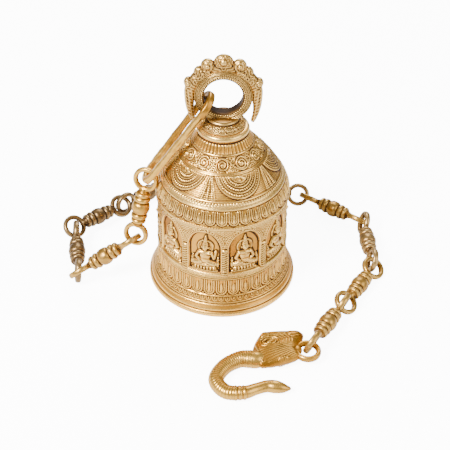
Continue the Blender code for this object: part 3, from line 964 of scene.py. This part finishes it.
    def arcade_relief(self, phi: Array, s: Array, r: Array) -> Array:
        """Arched niches with seated figures, pillars between them and scaled spandrels.

        An arch's edge is where (|u|/half)^p + (rise/tall)^p = 1.

        Args: phi: angle from the front. s: length along the outline. r: not used.
        Returns: millimetres of relief.
        """
        pitch = TAU / self.niches
        cell = wrapped(phi - math.radians(self.niche_at), pitch)
        number = np.round((phi - math.radians(self.niche_at)) / pitch)
        wall, floor = 43.0, -1.5
        u = cell * wall
        v = s - self.lip - 33.0
        spring, half, tall, point = 21.6, 11.0, 14.0, 1.75
        above = v > spring
        lift = np.maximum(v - spring, 0.0) / tall
        edge = half * (1.0 - ((np.abs(u) / half) ** point + lift ** point) ** (1.0 / point))
        edge = np.minimum(edge, v - 1.8)
        rise = floor * smoothstep(edge, 0.0, 0.6)
        arch = above & (edge < 0.0)
        rise = rise + 0.62 * ridge(edge + 0.55, 0.55) + np.where(above, 0.5 * ridge(edge + 2.6, 0.45), 0.0)
        turn = np.arctan2(v - spring, u)
        rise = rise + np.where(arch, 0.45 * beads(turn * 11.6, edge + 1.6, 1.45, 0.66), 0.0)
        beyond = smoothstep(-edge, 3.0, 3.3) * smoothstep(37.6 - v, 0.0, 0.5) * above
        rise = rise + beyond * (0.75 * fish_scales(u, v, 2.3) - 0.5)
        post = 0.5 * pitch * wall
        aside = post - np.abs(u)
        shaft = (~above) & (edge < -0.6)
        round_bar = np.sqrt(np.clip(1.0 - (aside / 1.6) ** 2, 0.0, 1.0))
        twist = 0.26 * np.cos(TAU * (v / 1.9 + 0.22 * (post - u)))
        rise = rise + np.where(shaft, 0.85 * round_bar + twist * (v > 4.2) * (v < 20.0), 0.0)
        block = ((v < 4.0) | (np.abs(v - 22.0) < 1.9)) & shaft
        rise = rise + np.where(block, 0.35 + 0.3 * np.cos(v * TAU / 1.9), 0.0)
        rise = rise + 0.5 * ridge(v - 0.7, 0.9) + 0.32 * ridge(v - 38.1, 0.5)
        seated = Worshipper(raised=False).height(u, v - 2.0)
        blessing = Worshipper(raised=True, lean=1.0).height(u, v - 2.0)
        figure = np.where(np.mod(number, 2) == 0, seated, blessing)
        return np.where(edge > 0.25, np.maximum(rise, floor + figure), rise)

    def build(self, shop: Workshop) -> None:
        """Make the four bands and hand them over.

        Args: shop: where finished pieces go.
        """
        top = self.length[-1]
        edges = (self.skirt_top, self.arcade_top, self.petals_top)
        skirt, arcade, petals = (self.lip + edge for edge in edges)
        pieces = (
            ("bell_skirt", 0.0, skirt, 0.36, self.skirt_relief, 900),
            ("bell_arcade", skirt, arcade, 0.36, self.arcade_relief, 860),
            ("bell_petal_band", arcade, petals, 0.34, self.crown_petal_relief, 900),
            ("bell_dome", petals, top, 0.42, self.dome_relief, 820),
        )
        for name, low, high, step, relief, columns in pieces:
            skin = self.band(low, high, step, relief, columns)
            finish = SKIRT if name == "bell_skirt" else BRASS
            shop.add(name, skin, finish, "bell", Slot.AGED, ("bell_body",), reach=5, depth=0.12)


# --- crown ring ------------------------------------------------------------
@dataclass
class CrownRing:
    """Ring with a crest, standing in a scrolled foot on the bell's crown."""

    middle_z: float = 142.0
    radius: float = 15.0
    half_radial: float = 3.0
    half_depth: float = 4.55
    eye_z: float = 101.0

    def __post_init__(self) -> None:
        """Take the bell's axis, and stand the ring just above its crown."""
        self.at, crown = bell_place()
        self.base = crown + 0.3

    def hoop(self) -> Skin:
        """The ring: a squared section with ribs and two rows of beads on its two faces.

        Returns: the skin, on the axis.
        """
        steps, sides = 420, 120
        path, out = ring_path(self.radius, steps)

        def section(share: Array, angle: Array) -> tuple[Array, Array]:
            """Half widths, the faces raised by ribs and beads.

            Args: share: of the way round the ring. angle: round the section.
            Returns: the radial and the sideways part.
            """
            s = np.sin(angle)
            wide = self.half_radial * signed_power(np.cos(angle), 0.85)
            deep = (self.half_depth - 0.3) * signed_power(s, 0.2)
            face = smoothstep(np.abs(s), 0.32, 0.5)
            ribs = sum(size * ridge(wide - at, 0.42) for at, size in
                       ((2.6, 0.75), (1.75, 0.7), (0.95, 0.6), (-0.55, 0.6), (-2.6, 0.6)))
            row = beads(share * TAU * 13.4, wide + 1.6, TAU * 13.4 / 60, 0.66)
            fine = beads(share * TAU * 15.2, wide - 0.2, TAU * 15.2 / 84, 0.45)
            rise = face * (ribs + 0.7 * row + 0.45 * fine - 0.6)
            return wide + 0.0 * share, deep + np.sign(s) * rise

        return along_path(path, out, section, sides, closed=True).placed(np.eye(3), (0.0, 0.0, self.middle_z))

    def foot(self) -> Skin:
        """The foot: a flared tier of rosettes under a small roll.

        Returns: the skin, on the axis.
        """
        outline = np.array([(0.05, 0.0), (13.8, 0.0), (14.3, 0.3), (14.2, 1.1), (13.6, 1.9), (12.6, 3.1),
                            (11.5, 4.0), (10.5, 4.4), (10.2, 4.7), (10.3, 5.3), (9.8, 5.9), (8.8, 6.3),
                            (0.05, 6.5)])
        steps = outline_length(outline)
        s = np.linspace(0.0, steps[-1], 150)
        r, z = np.interp(s, steps, outline[:, 0]), np.interp(s, steps, outline[:, 1])
        turn = (np.arange(420) / 420 * TAU)[None, :]
        u = wrapped(turn, TAU / 10) * 13.0
        v = (z - 2.6)[:, None] * 1.7
        on_tier = smoothstep(z, 0.7, 1.1) * smoothstep(4.4 - z, 0.0, 0.4)
        curl = 0.55 * scroll(u, v, 2.7, 1.1, 1.0) + 0.5 * ridge(np.hypot(u, v) - 3.3, 0.5) * (
            0.6 + 0.4 * np.cos(8 * np.arctan2(v, u)))
        curl = curl + 0.5 * bump(np.abs(u), v, (4.1, 0.4), (0.7, 2.2))
        rise = on_tier[:, None] * curl
        radius = r[:, None] + 0.85 * rise
        height = z[:, None] + 0.4 * rise
        points = np.stack([radius * np.cos(turn), radius * np.sin(turn), height], axis=-1)
        return woven(points).placed(np.eye(3), (0.0, 0.0, self.base))

    @staticmethod
    def crest() -> Skin:
        """Three lobes, and on each side a leafy shoulder, a curled knob and a tail, cast as one.

        Returns: the skin, on the axis.
        """
        deep = (0.0, 1.0, 0.0)
        top_at, wing_at, knob_at = (0.0, 165.2), (9.9, 162.4), (21.5, 150.6)
        tail = ((8.0, 158.0, 3.6), (13.6, 155.6, 4.0), (17.6, 151.4, 4.0), (20.2, 145.8, 3.7),
                (20.8, 139.6, 3.3), (20.8, 133.6, 2.6), (20.0, 128.0, 1.9), (18.6, 123.6, 1.5),
                (18.2, 122.3, 0.8))
        leaf = ((22.4, 148.4, 1.1), (22.9, 144.0, 1.3), (22.7, 139.0, 1.2), (21.8, 133.0, 0.9))
        parts = [ellipsoid((0, 0, 163.8), (6.2, 3.3, 6.0)), ellipsoid((0, 0, 159.6), (11.0, 3.2, 4.4)),
                 ellipsoid((0, 0, 165.2), (3.0, 4.2, 3.0))]
        for side in (-1.0, 1.0):
            parts += [
                ellipsoid((side * 9.6, 0, 162.0), (4.4, 3.2, 4.6)),
                ellipsoid((side * 9.9, 0, 162.4), (2.1, 3.9, 2.2)),
                ellipsoid((side * 14.4, 0, 157.6), (3.9, 2.9, 3.9)),
                horn([(side * x, 0, z, r) for x, z, r in tail], deep, 0.9),
                ellipsoid((side * 21.5, 0, 150.6), (2.9, 3.4, 3.2)),
                horn([(side * x, 0, z, r) for x, z, r in leaf], deep, 2.3),
            ]
        made = fused(parts, 0.32)
        x, z = np.abs(made.verts[:, 0]), made.verts[:, 2]
        face = smoothstep(np.abs(made.normals()[:, 1]), 0.35, 0.75)
        middle = np.hypot(made.verts[:, 0], z - top_at[1])
        petals = 0.9 * np.cos(6.0 * np.arctan2(z - top_at[1], made.verts[:, 0]))
        lobe = 0.22 * ridge(wrapped(middle + petals, 2.0), 0.6) * (middle > 2.4)
        curl = 0.30 * scroll(x - wing_at[0], z - wing_at[1], 4.4, 1.9, 1.0) * (x > 5.5)
        leaf = np.hypot(x - 9.0, z - 148.0)
        veins = 0.42 * ridge(wrapped(leaf + 1.4 * np.sin(np.arctan2(z - 148.0, x - 9.0) * 9.0), 1.8), 0.5)
        veins = veins * (x > 10.5) * (z > 150.5) * (z < 161.0)
        knob = np.hypot(x - knob_at[0], z - knob_at[1])
        spiral = 0.5 * scroll(x - knob_at[0], z - knob_at[1], 2.9, 1.3, 1.0) * (knob < 2.9)
        tail = 0.24 * ridge(wrapped(x - 0.12 * z, 2.1), 0.6) * (z < 147.0)
        rise = face * np.maximum.reduce([lobe, curl, np.where(knob < 2.9, spiral, np.maximum(veins, tail))])
        return made.pushed(rise)

    def stem(self) -> Skin:
        """The threaded stem under the crown, before its eye is cut.

        Returns: the skin, on the axis.
        """
        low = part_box("crown_ring")[0].z / MM
        s = np.linspace(0.0, 1.0, 130)
        z = low + s * (self.base + 1.0 - low)
        thread = 0.13 * np.cos((z - low) * TAU / 0.8) * smoothstep(z, low + 6.0, low + 7.0)
        r = np.where(s < 0.01, 2.6, 3.05) + thread
        return turned(np.vstack([[0.05, low], np.stack([r, z], axis=1), [0.05, z[-1]]]), 48)

    def build(self, shop: Workshop) -> None:
        """Make the ring's pieces.

        Args: shop: where finished pieces go.
        """
        hoop = self.hoop()
        bore = np.hypot(hoop.verts[:, 0], hoop.verts[:, 2] - self.middle_z)
        # Painted shade: the inner face of the hoop, within 13.4 mm of its middle, is darkened all round.
        painted_shade = 0.9 * smoothstep(13.4 - bore, 0.0, 0.8)
        for name, skin, extra in (("crown_hoop", hoop, painted_shade), ("crown_foot", self.foot(), 0.0),
                                  ("crown_crest", self.crest(), 0.0)):
            shop.add(name, skin.placed(np.eye(3), self.at), DUSKY, "bell", Slot.AGED, ("crown_ring",),
                     reach=6, depth=0.14, extra=extra)
        stem = self.bored(self.stem()).placed(np.eye(3), self.at)
        shop.add("crown_stem", stem, BROWN, "bell", Slot.TARNISHED, ("crown_ring",))

    def bored(self, shaft: Skin) -> Skin:
        """The stem with its eye cut through along Y.

        Args: shaft: the plain stem.
        Returns: the stem with a hole.
        """
        quarter = np.array([[1.0, 0, 0], [0, 0, 1.0], [0, -1.0, 0]])
        drill = turned(np.array([(0.05, -9.0), (1.85, -9.0), (1.85, 9.0), (0.05, 9.0)]), 32)
        objs = [shown("boring", skin) for skin in (shaft, drill.placed(quarter, (0.0, 0.0, self.eye_z)))]
        cut = objs[0].modifiers.new("eye", "BOOLEAN")
        cut.operation, cut.object = "DIFFERENCE", objs[1]
        made = modified(objs[0])
        for obj in objs:
            bpy.data.objects.remove(obj)
        return Skin(coordinates(made), np.zeros((0, 4), int), corners_of(made))


# --- clapper ---------------------------------------------------------------
@dataclass
class Clapper:
    """A wire ring in the stem's eye, and a turned clapper that hangs on it."""

    ring_radius: float = 6.6
    wire: float = 1.0
    eye_radius: float = 4.1
    ball: float = 8.9

    def build(self, shop: Workshop) -> None:
        """Make the hanger and the clapper.

        Args: shop: where finished pieces go.
        """
        low, high = (np.array(p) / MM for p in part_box("clapper_hanger"))
        quarter = np.array([[0.0, -1.0, 0.0], [1.0, 0.0, 0.0], [0.0, 0.0, 1.0]])
        hanger = eye_ring(self.ring_radius, self.wire, self.wire, 120, 20)
        hanger = hanger.pushed(0.05 * lumps(hanger.verts, 5.0, 3))
        shop.add("clapper_hanger_ring", hanger.placed(quarter, (low + high) / 2), UMBER, "clapper_hanger",
                 Slot.TARNISHED, ("clapper_hanger",))
        low, high = (np.array(p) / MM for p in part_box("clapper"))
        middle = (low + high) / 2
        top = high[2] - low[2]
        eye = eye_ring(self.eye_radius, 1.2, 1.2, 96, 20)
        eye = eye.placed(np.eye(3), (0, 0, top - self.eye_radius - 1.3))
        rod_top = top - 2 * self.eye_radius - 1.0
        outline = catmull(np.array([
            (0.05, 17.0), (3.4, 17.0), (3.4, 19.4), (2.3, 21.4), (2.0, 26.0), (1.75, 46.0),
            (1.6, rod_top - 6), (2.1, rod_top - 3.5), (1.6, rod_top - 1.6), (1.5, rod_top),
            (0.05, rod_top + 0.2)]), 8)
        rod = turned(outline, 40)
        turn = np.linspace(0.02, math.pi - 0.02, 90)
        lines = 0.18 * ridge(wrapped(np.cos(turn) * self.ball, 3.1), 0.35) * (np.abs(np.cos(turn)) < 0.5)
        radius = self.ball * np.sin(turn) + lines
        bob = turned(np.stack([radius, 9.0 - self.ball * np.cos(turn)], axis=1), 96)
        skin = fused([eye, rod, bob], 0.32, 1)
        shop.add("clapper_piece", skin.placed(np.eye(3), (middle[0], middle[1], low[2])), GOLD, "clapper",
                 Slot.GOLDEN, ("clapper",))


# --- long link -------------------------------------------------------------
@dataclass
class LongLink:
    """A forged loop of squared bar, with a seam on its front leg where its ends lie lapped."""

    top_radius: float = 8.4
    end_radius: float = 6.8
    half: float = 2.45

    def build(self, shop: Workshop, joints: dict[str, Array]) -> None:
        """Make the loop between its two joints.

        Args: shop: where finished pieces go. joints: places of the joints by child body.
        """
        top, end = joints["long_link"], joints["chain_link_01"]
        along = (end - top) / np.linalg.norm(end - top)
        across = np.array([0.0, 1.0, 0.0]) - along[1] * along
        across /= np.linalg.norm(across)
        first, last = top + along * self.top_radius, end - along * self.end_radius
        lean = math.asin((self.top_radius - self.end_radius) / np.linalg.norm(last - first))
        arcs = []
        for centre, radius, start, stop in (
                (first, self.top_radius, -math.pi / 2 - lean, math.pi / 2 + lean),
                (last, self.end_radius, math.pi / 2 + lean, 1.5 * math.pi - lean)):
            turn = np.linspace(start, stop, 60)[:, None]
            arcs.append(centre + radius * (-along * np.cos(turn) + across * np.sin(turn)))
        corner = np.vstack([arcs[0], arcs[1], arcs[0][:1]])
        run = path_length(corner)
        steps = 420
        even = np.arange(steps) / steps * run[-1]
        path = np.stack([np.interp(even, run, corner[:, k]) for k in range(3)], axis=1)
        middle = (first + last) / 2
        normal = np.cross(along, across)

        def section(share: Array, angle: Array) -> tuple[Array, Array]:
            """Half widths of a squared bar with hammer marks.

            Args: share: of the way round the loop. angle: round the section.
            Returns: the two half widths.
            """
            hammered = 1.0 + 0.035 * np.sin(share * TAU * 9 + 2.0 * angle)
            hammered = hammered + 0.02 * np.sin(share * TAU * 23 + 1.0)
            size = self.half * hammered
            return size * signed_power(np.cos(angle), 0.62), size * signed_power(np.sin(angle), 0.62)

        skin = along_path(path, normal, section, 40, closed=True)
        skin = skin.pushed(0.08 * lumps(skin.verts, 6.0, 11) + 0.04 * lumps(skin.verts, 2.4, 5) - 0.2)
        place = (skin.verts - first) @ along / np.linalg.norm(last - first)
        front = ((skin.verts - middle) @ across) < 0.0
        seam = ridge((skin.verts - middle) @ normal - 0.5 + 1.6 * (place - 0.3), 0.4) * front
        seam = seam * smoothstep(place, 0.02, 0.08) * smoothstep(0.52 - place, 0.0, 0.06)
        skin = skin.pushed(-0.55 * seam)
        # Painted shade: the back leg, and the top end where the loop sits in the ring, are darkened.
        back = smoothstep((skin.verts - middle) @ across, -1.0, 3.0) * smoothstep(0.92 - place, 0.0, 0.3)
        painted_shade = np.maximum(0.8 * back, 0.8 * smoothstep(0.16 - place, 0.0, 0.16))
        shop.add("long_link_bar", skin, GOLD, "long_link", Slot.GOLDEN, ("long_link",), reach=10, depth=0.2,
                 extra=painted_shade)


# --- cast links ------------------------------------------------------------
@dataclass
class ChainLinks:
    """Eleven cast links: a barrel and four rings between two eyes."""

    pitch: float = 41.4
    eye_radius: float = 7.0
    half_radial: float = 1.6
    half_depth: float = 2.0

    def pattern(self) -> Skin:
        """One link along X with its eyes in the XZ plane.

        The barrel's radius is the greatest of rounded bands: low + (high - low) x root of
        1 - ((x - middle)/half)^2.

        Returns: the fused link.
        """
        end = 14.2
        x = np.linspace(-end, end, 240)
        side = np.abs(x)
        neck = np.interp(side, [0.0, 8.0, 11.0, 12.6, end], [4.2, 3.7, 3.5, 2.7, 2.2])
        rings = ((0.0, 3.9, 4.3, 6.0), (6.2, 1.75, 4.1, 5.45), (9.75, 1.55, 3.7, 4.95))
        bands = [low + (high - low) * np.sqrt(np.clip(1.0 - ((side - at) / half) ** 2, 0.0, 1.0))
                 for at, half, low, high in rings]
        bands = [np.where(band > ring[2], band, 0.0) for band, ring in zip(bands, rings)]
        radius = np.maximum.reduce([neck, *bands])
        outline = np.vstack([(0.05, -end), np.stack([radius, x], axis=1), (0.05, end)])
        lay = np.array([[0.0, 0.0, 1.0], [0.0, 1.0, 0.0], [-1.0, 0.0, 0.0]])
        barrel = turned(outline, 72).placed(lay, (0.0, 0.0, 0.0))
        eyes = [eye_ring(self.eye_radius, self.half_radial, self.half_depth, 110, 26).placed(
            np.eye(3), (way * self.pitch / 2, 0.0, 0.0)) for way in (-1, 1)]
        flares = [ellipsoid((way * 13.4, 0.0, 0.0), (2.6, 1.9, 3.4)) for way in (-1, 1)]
        return fused([barrel, *eyes, *flares], 0.36, 3)

    @staticmethod
    def axes_of(node: bpy.types.Object) -> tuple[Array, Array]:
        """A link's place and turn from its surface: area-weighted centre and principal directions.

        Args: node: the CAD link.
        Returns: a 3 by 3 turn (long axis, eyes' normal, across) and the centre in millimetres.
        """
        verts, faces = coordinates(node.data), corners_of(node.data)
        a, b, c = (verts[faces[:, k]] for k in range(3))
        area = np.linalg.norm(np.cross(b - a, c - a), axis=1)
        middle = (a + b + c) / 3.0
        centre = (middle * area[:, None]).sum(0) / area.sum()
        shape = ((middle - centre) * area[:, None]).T @ (middle - centre)
        ways = np.linalg.eigh(shape)[1]
        along, across, normal = ways[:, 2], ways[:, 1], ways[:, 0]
        if np.dot(np.cross(along, normal), across) < 0.0:
            normal = -normal
        return np.stack([along, normal, across], axis=1), centre

    def build(self, shop: Workshop, nodes: dict[str, bpy.types.Object]) -> None:
        """Lay the pattern where each link lies, each with its own unevenness and finish.

        Args: shop: where finished pieces go. nodes: the CAD nodes by name.
        """
        pattern = self.pattern()
        finishes = (GOLD, TAN, UMBER, UMBER, UMBER, UMBER, BROWN, TAN, BROWN, TAN, TAN)
        for number, finish in enumerate(finishes, start=1):
            name = f"chain_link_{number:02d}"
            turn, centre = self.axes_of(nodes[name])
            uneven = 0.09 * lumps(pattern.verts, 9.0, number) + 0.04 * lumps(pattern.verts, 3.0, 40 + number)
            skin = pattern.pushed(uneven - 0.02).placed(turn, centre)
            slot = Slot.TARNISHED if 3 <= number <= 7 else Slot.GOLDEN
            shop.add(f"cast_link_{number:02d}", skin, finish, name, slot, (name,), reach=8, depth=0.2)


# --- hook ------------------------------------------------------------------
@dataclass
class ElephantHook:
    """An elephant's head on its side whose trunk curls round into the hook.

    Its own frame runs forward along the head, aside towards the jaw, and up.
    """

    heading: float = 190.0
    rear: float = 8.6
    brow_side: float = 19.5
    middle_z: float = 6.3
    trunk: tuple[tuple[float, float, float, float], ...] = (
        (25.0, 1.8, 6.0, 2.4), (30.0, 1.8, 6.2, 4.8), (33.6, 1.6, 6.3, 5.7), (38.0, 0.4, 6.2, 5.7),
        (44.0, -0.3, 6.0, 5.3), (54.0, 4.0, 5.5, 5.0),
        (60.8, 13.5, 5.2, 4.8), (56.5, 23.5, 5.0, 4.6), (46.0, 26.0, 4.9, 4.2), (37.5, 24.2, 4.8, 3.7),
        (31.0, 23.2, 4.8, 3.8), (26.0, 24.4, 4.9, 4.1), (21.5, 26.0, 4.7, 3.2), (17.6, 27.0, 4.6, 1.3),
        (16.6, 27.2, 4.6, 0.4))
    outline: tuple[tuple[float, float], ...] = (
        (3.0, -6.0), (-0.5, -13.5), (1.5, -16.6), (8.0, -18.0), (18.0, -19.4), (26.0, -18.6), (29.6, -15.0),
        (33.0, -9.3), (34.8, -4.0), (34.6, 2.0), (32.5, 7.5), (27.0, 8.6), (20.0, 8.3), (16.0, 7.5),
        (9.0, 6.0), (5.5, 3.5), (6.4, -1.0))

    def __post_init__(self) -> None:
        """Work out which way the hook's frame points."""
        turn = math.radians(self.heading)
        self.forward = np.array([math.cos(turn), math.sin(turn), 0.0])
        self.aside = np.array([-math.sin(turn), math.cos(turn), 0.0])

    def head(self) -> Skin:
        """The head: a pillow over its outline, both sides alike but for the highest relief.

        Half thickness is 5.2 x root of (1 - share^3.2) plus the relief, where share is 0 at
        the middle and 1 on the outline. Underneath it stops at 5.6.

        Returns: the skin in the hook's frame.
        """
        rim = catmull(np.vstack([self.outline, self.outline[:1]]), 26)[:-1]
        centre = np.array([17.0, -5.0])
        share = np.sin(np.linspace(0.0, 0.5 * math.pi, 84)[1:])[:, None, None]
        flat = centre + (rim - centre)[None] * share
        x, y = flat[..., 0], flat[..., 1]
        body = 5.2 * np.sqrt(np.clip(1.0 - share[..., 0] ** 3.2, 0.0, 1.0))
        relief = self.head_relief(x, y) * smoothstep(1.0 - share[..., 0], 0.01, 0.12)
        high = body + relief
        upper = np.stack([x, y, self.middle_z + high], axis=-1)
        lower = np.stack([x, y, self.middle_z - np.minimum(high, 5.6)], axis=-1)
        return woven(np.concatenate([upper, lower[::-1][1:]]))

    @staticmethod
    def head_relief(x: Array, y: Array) -> Array:
        """Brow roll, eye with lids and creases, cheek, fanned lines, ear lobe and headband.

        Args: x, y: forward and aside in the hook's frame.
        Returns: millimetres of relief.
        """
        rise = 0.8 * limb(x, y, (26.5, -15.5), (4.0, -14.0), 3.2)
        rise = rise + 0.9 * bump(x, y, (26.5, -14.2), (4.6, 4.2)) + 0.5 * bump(x, y, (6.0, -13.0), (5.0, 4.5))
        lid = np.hypot((x - 23.2) / 3.5, (y + 8.0) / 2.1)
        rise = rise - 1.5 * np.clip(1.15 - lid, 0.0, 0.7) + 1.3 * bump(x, y, (23.4, -8.0), (1.8, 1.3))
        rise = rise + 0.65 * ridge(lid - 1.15, 0.3) + 0.5 * ridge(lid - 1.85, 0.26) * (x < 29.0)
        creases = ridge(wrapped(lid - 2.5, 0.62), 0.24) * smoothstep(lid, 2.1, 2.3)
        creases = creases * smoothstep(4.6 - lid, 0.0, 0.4)
        rise = rise + 0.22 * creases * (y < -3.0 - 0.1 * x)
        rise = rise + 0.5 * bump(x, y, (12.0, -5.5), (7.0, 4.0))
        fan = np.arctan2(y + 7.0, x + 14.0)
        lines = ridge(wrapped(fan - 0.02, 0.042), 0.019) * smoothstep(fan, 0.06, 0.075)
        rise = rise + 0.42 * lines * smoothstep(x, 7.0, 10.0) * smoothstep(31.6 - x, 0.0, 0.8)
        rise = rise + 1.0 * bump(x, y, (16.4, 7.0), (4.0, 2.0)) * (0.75 + 0.25 * np.cos(x * TAU / 1.6))
        headband = x - 31.6 + 0.12 * (y + 2.0)
        rise = rise + 0.8 * ridge(headband, 0.8) * (y > -7.0) + 0.6 * ridge(headband - 2.2, 0.7) * (y > -6.0)
        return rise

    def trunk_bar(self) -> Skin:
        """The trunk: a round bar along its curve, with fine cross ribs up to three bands.

        Returns: the skin in the hook's frame.
        """
        line = catmull(np.array(self.trunk), 34)
        run = path_length(line[:, :3])[:, None]
        cuff_at = run[np.argmin(np.hypot(line[:, 0] - 48.0, line[:, 1] - 26.2))]

        def section(_: Array, angle: Array) -> tuple[Array, Array]:
            """Half widths, the ribs strongest on the upper and lower sides.

            Args: angle: round the section.
            Returns: the two half widths.
            """
            ribs = 0.15 * np.cos(run * TAU / 1.5) * smoothstep(run, 9.0, 11.0)
            ribs = ribs * smoothstep(cuff_at - run, -2.0, 2.0)
            cuff = sum(size * ridge(run - cuff_at - shift, 0.9)
                       for shift, size in ((-2.6, 0.45), (0.0, 0.35), (2.6, 0.5)))
            size = line[:, 3:] + ribs * (0.5 + 0.5 * np.cos(angle) ** 2) + cuff
            return size * 0.98 * np.cos(angle), size * np.sin(angle)

        return along_path(line[:, :3], np.array([0.0, 0.0, 1.0]), section, 56, closed=False)

    def build(self, shop: Workshop, node: bpy.types.Object) -> None:
        """Make the head with its eye ring, and the trunk.

        Args: shop: where finished pieces go. node: the CAD hook.
        """
        verts = coordinates(node.data)
        origin = self.forward * ((verts @ self.forward).min() + self.rear) + self.aside * (
            (verts @ self.aside).min() + self.brow_side)
        turn = np.stack([self.forward, self.aside, [0.0, 0.0, 1.0]], axis=1)
        lay = np.array([[1.0, 0.0, 0.0], [0.0, 0.0, 1.0], [0.0, -1.0, 0.0]])
        ring = eye_ring(7.0, 1.65, 2.1, 120, 28).placed(lay, (0.0, 0.0, 6.6))
        neck = ellipsoid((6.4, -2.4, 6.5), (3.4, 4.4, 2.6))
        for name, skin, reach, depth in (("hook_eye", fused([ring, neck], 0.34, 2), 6, 0.28),
                                         ("hook_head", self.head(), 6, 0.18),
                                         ("hook_trunk", self.trunk_bar(), 6, 0.18)):
            shop.add(name, skin.placed(turn, origin), GOLD, "elephant_hook", Slot.GOLDEN, ("elephant_hook",),
                     reach=reach, depth=depth)


# --- studio ----------------------------------------------------------------
@dataclass
class Studio:
    """Camera, soft lights and a pale floor."""

    eye: tuple[float, float, float] = (2.4, -514.9, 466.0)
    down: float = 39.02
    roll: float = 0.69
    lens: float = 80.0

    def set_camera(self) -> None:
        """Place the camera: level heading, pitched down, and turned a little about its view."""
        data = bpy.data.cameras.new("camera")
        data.lens, data.sensor_width = self.lens, 36.0
        cam = bpy.data.objects.new("camera", data)
        turn = Matrix.Rotation(math.radians(90.0 - self.down), 4, "X") @ Matrix.Rotation(
            math.radians(self.roll), 4, "Z")
        cam.matrix_world = Matrix.Translation(Vector(self.eye) * MM) @ turn
        bpy.context.scene.collection.objects.link(cam)
        bpy.context.scene.camera = cam

    @staticmethod
    def light(name: str, at: tuple[float, float, float], aim: tuple[float, float, float], size: float,
              power: float) -> None:
        """One square soft light.

        Args: name: its name. at, aim: where it hangs and points, in metres. size: side. power: watts.
        """
        data = bpy.data.lights.new(name, "AREA")
        data.size, data.energy = size, power
        lamp = bpy.data.objects.new(name, data)
        lamp.location = at
        lamp.rotation_euler = (Vector(aim) - Vector(at)).to_track_quat("-Z", "Y").to_euler()
        bpy.context.scene.collection.objects.link(lamp)

    def set_lights(self) -> None:
        """A key from the upper left, a fill from the right, one from behind, and a soft white world."""
        self.light("key", (-0.7, -0.7, 1.1), (0, 0, 0.05), 0.4, 62.0)
        self.light("fill", (0.9, -0.5, 0.7), (0, 0, 0.05), 0.8, 10.0)
        self.light("back", (0.1, 0.9, 0.9), (0, 0, 0.05), 0.7, 14.0)
        world = bpy.data.worlds.new("studio")
        world.use_nodes = True
        sky = world.node_tree.nodes["Background"]
        sky.inputs["Color"].default_value = (1.0, 1.0, 1.0, 1.0)
        sky.inputs["Strength"].default_value = 0.28
        bpy.context.scene.world = world

    @staticmethod
    def set_floor() -> None:
        """A wide pale sheet just under the lip."""
        half, under = 6.0, -1e-4
        mesh = bpy.data.meshes.new("floor")
        corners = [(-half, -half, under), (half, -half, under), (half, half, under), (-half, half, under)]
        mesh.from_pydata(corners, [], [(0, 1, 2, 3)])
        mat = bpy.data.materials.new("pale_floor")
        mat.use_nodes = True
        shader = mat.node_tree.nodes["Principled BSDF"]
        shader.inputs["Base Color"].default_value = (0.93, 0.93, 0.93, 1.0)
        shader.inputs["Roughness"].default_value = 0.9
        shader.inputs["Emission Color"].default_value = (1.0, 1.0, 1.0, 1.0)
        ray = mat.node_tree.nodes.new("ShaderNodeLightPath")
        glow = mat.node_tree.nodes.new("ShaderNodeMath")
        glow.operation = "MULTIPLY"
        glow.inputs[1].default_value = 10.0
        mat.node_tree.links.new(ray.outputs["Is Camera Ray"], glow.inputs[0])
        mat.node_tree.links.new(glow.outputs[0], shader.inputs["Emission Strength"])
        mesh.materials.append(mat)
        floor = bpy.data.objects.new("floor", mesh)
        bpy.context.scene.collection.objects.link(floor)


def small_fixings(shop: PatinaShop, nodes: dict[str, bpy.types.Object]) -> None:
    """Give the washer and the nut, whose CAD shapes are right, their finish.

    Args: shop: maker of materials. nodes: the CAD nodes by name.
    """
    for name in ("crown_washer", "crown_nut"):
        nodes[name].data.materials.clear()
        nodes[name].data.materials.append(shop.material(BROWN))


def main() -> None:
    """Load the frame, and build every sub-assembly."""
    logging.basicConfig(level=logging.INFO, format="%(name)s %(message)s")
    for obj in list(bpy.data.objects):
        bpy.data.objects.remove(obj, do_unlink=True)
    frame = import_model()
    joints = {j["child"]: np.array(j["pos_m"]) / MM for j in frame["joints"]}
    studio = Studio()
    studio.set_camera()
    studio.set_lights()
    studio.set_floor()
    shop = Workshop(PatinaShop())
    Bell().build(shop)
    CrownRing().build(shop)
    small_fixings(shop.shop, frame["nodes"])
    Clapper().build(shop)
    LongLink().build(shop, joints)
    ChainLinks().build(shop, frame["nodes"])
    ElephantHook().build(shop, frame["nodes"]["elephant_hook"])
    bpy.context.view_layer.update()


if __name__ == "__main__":
    main()
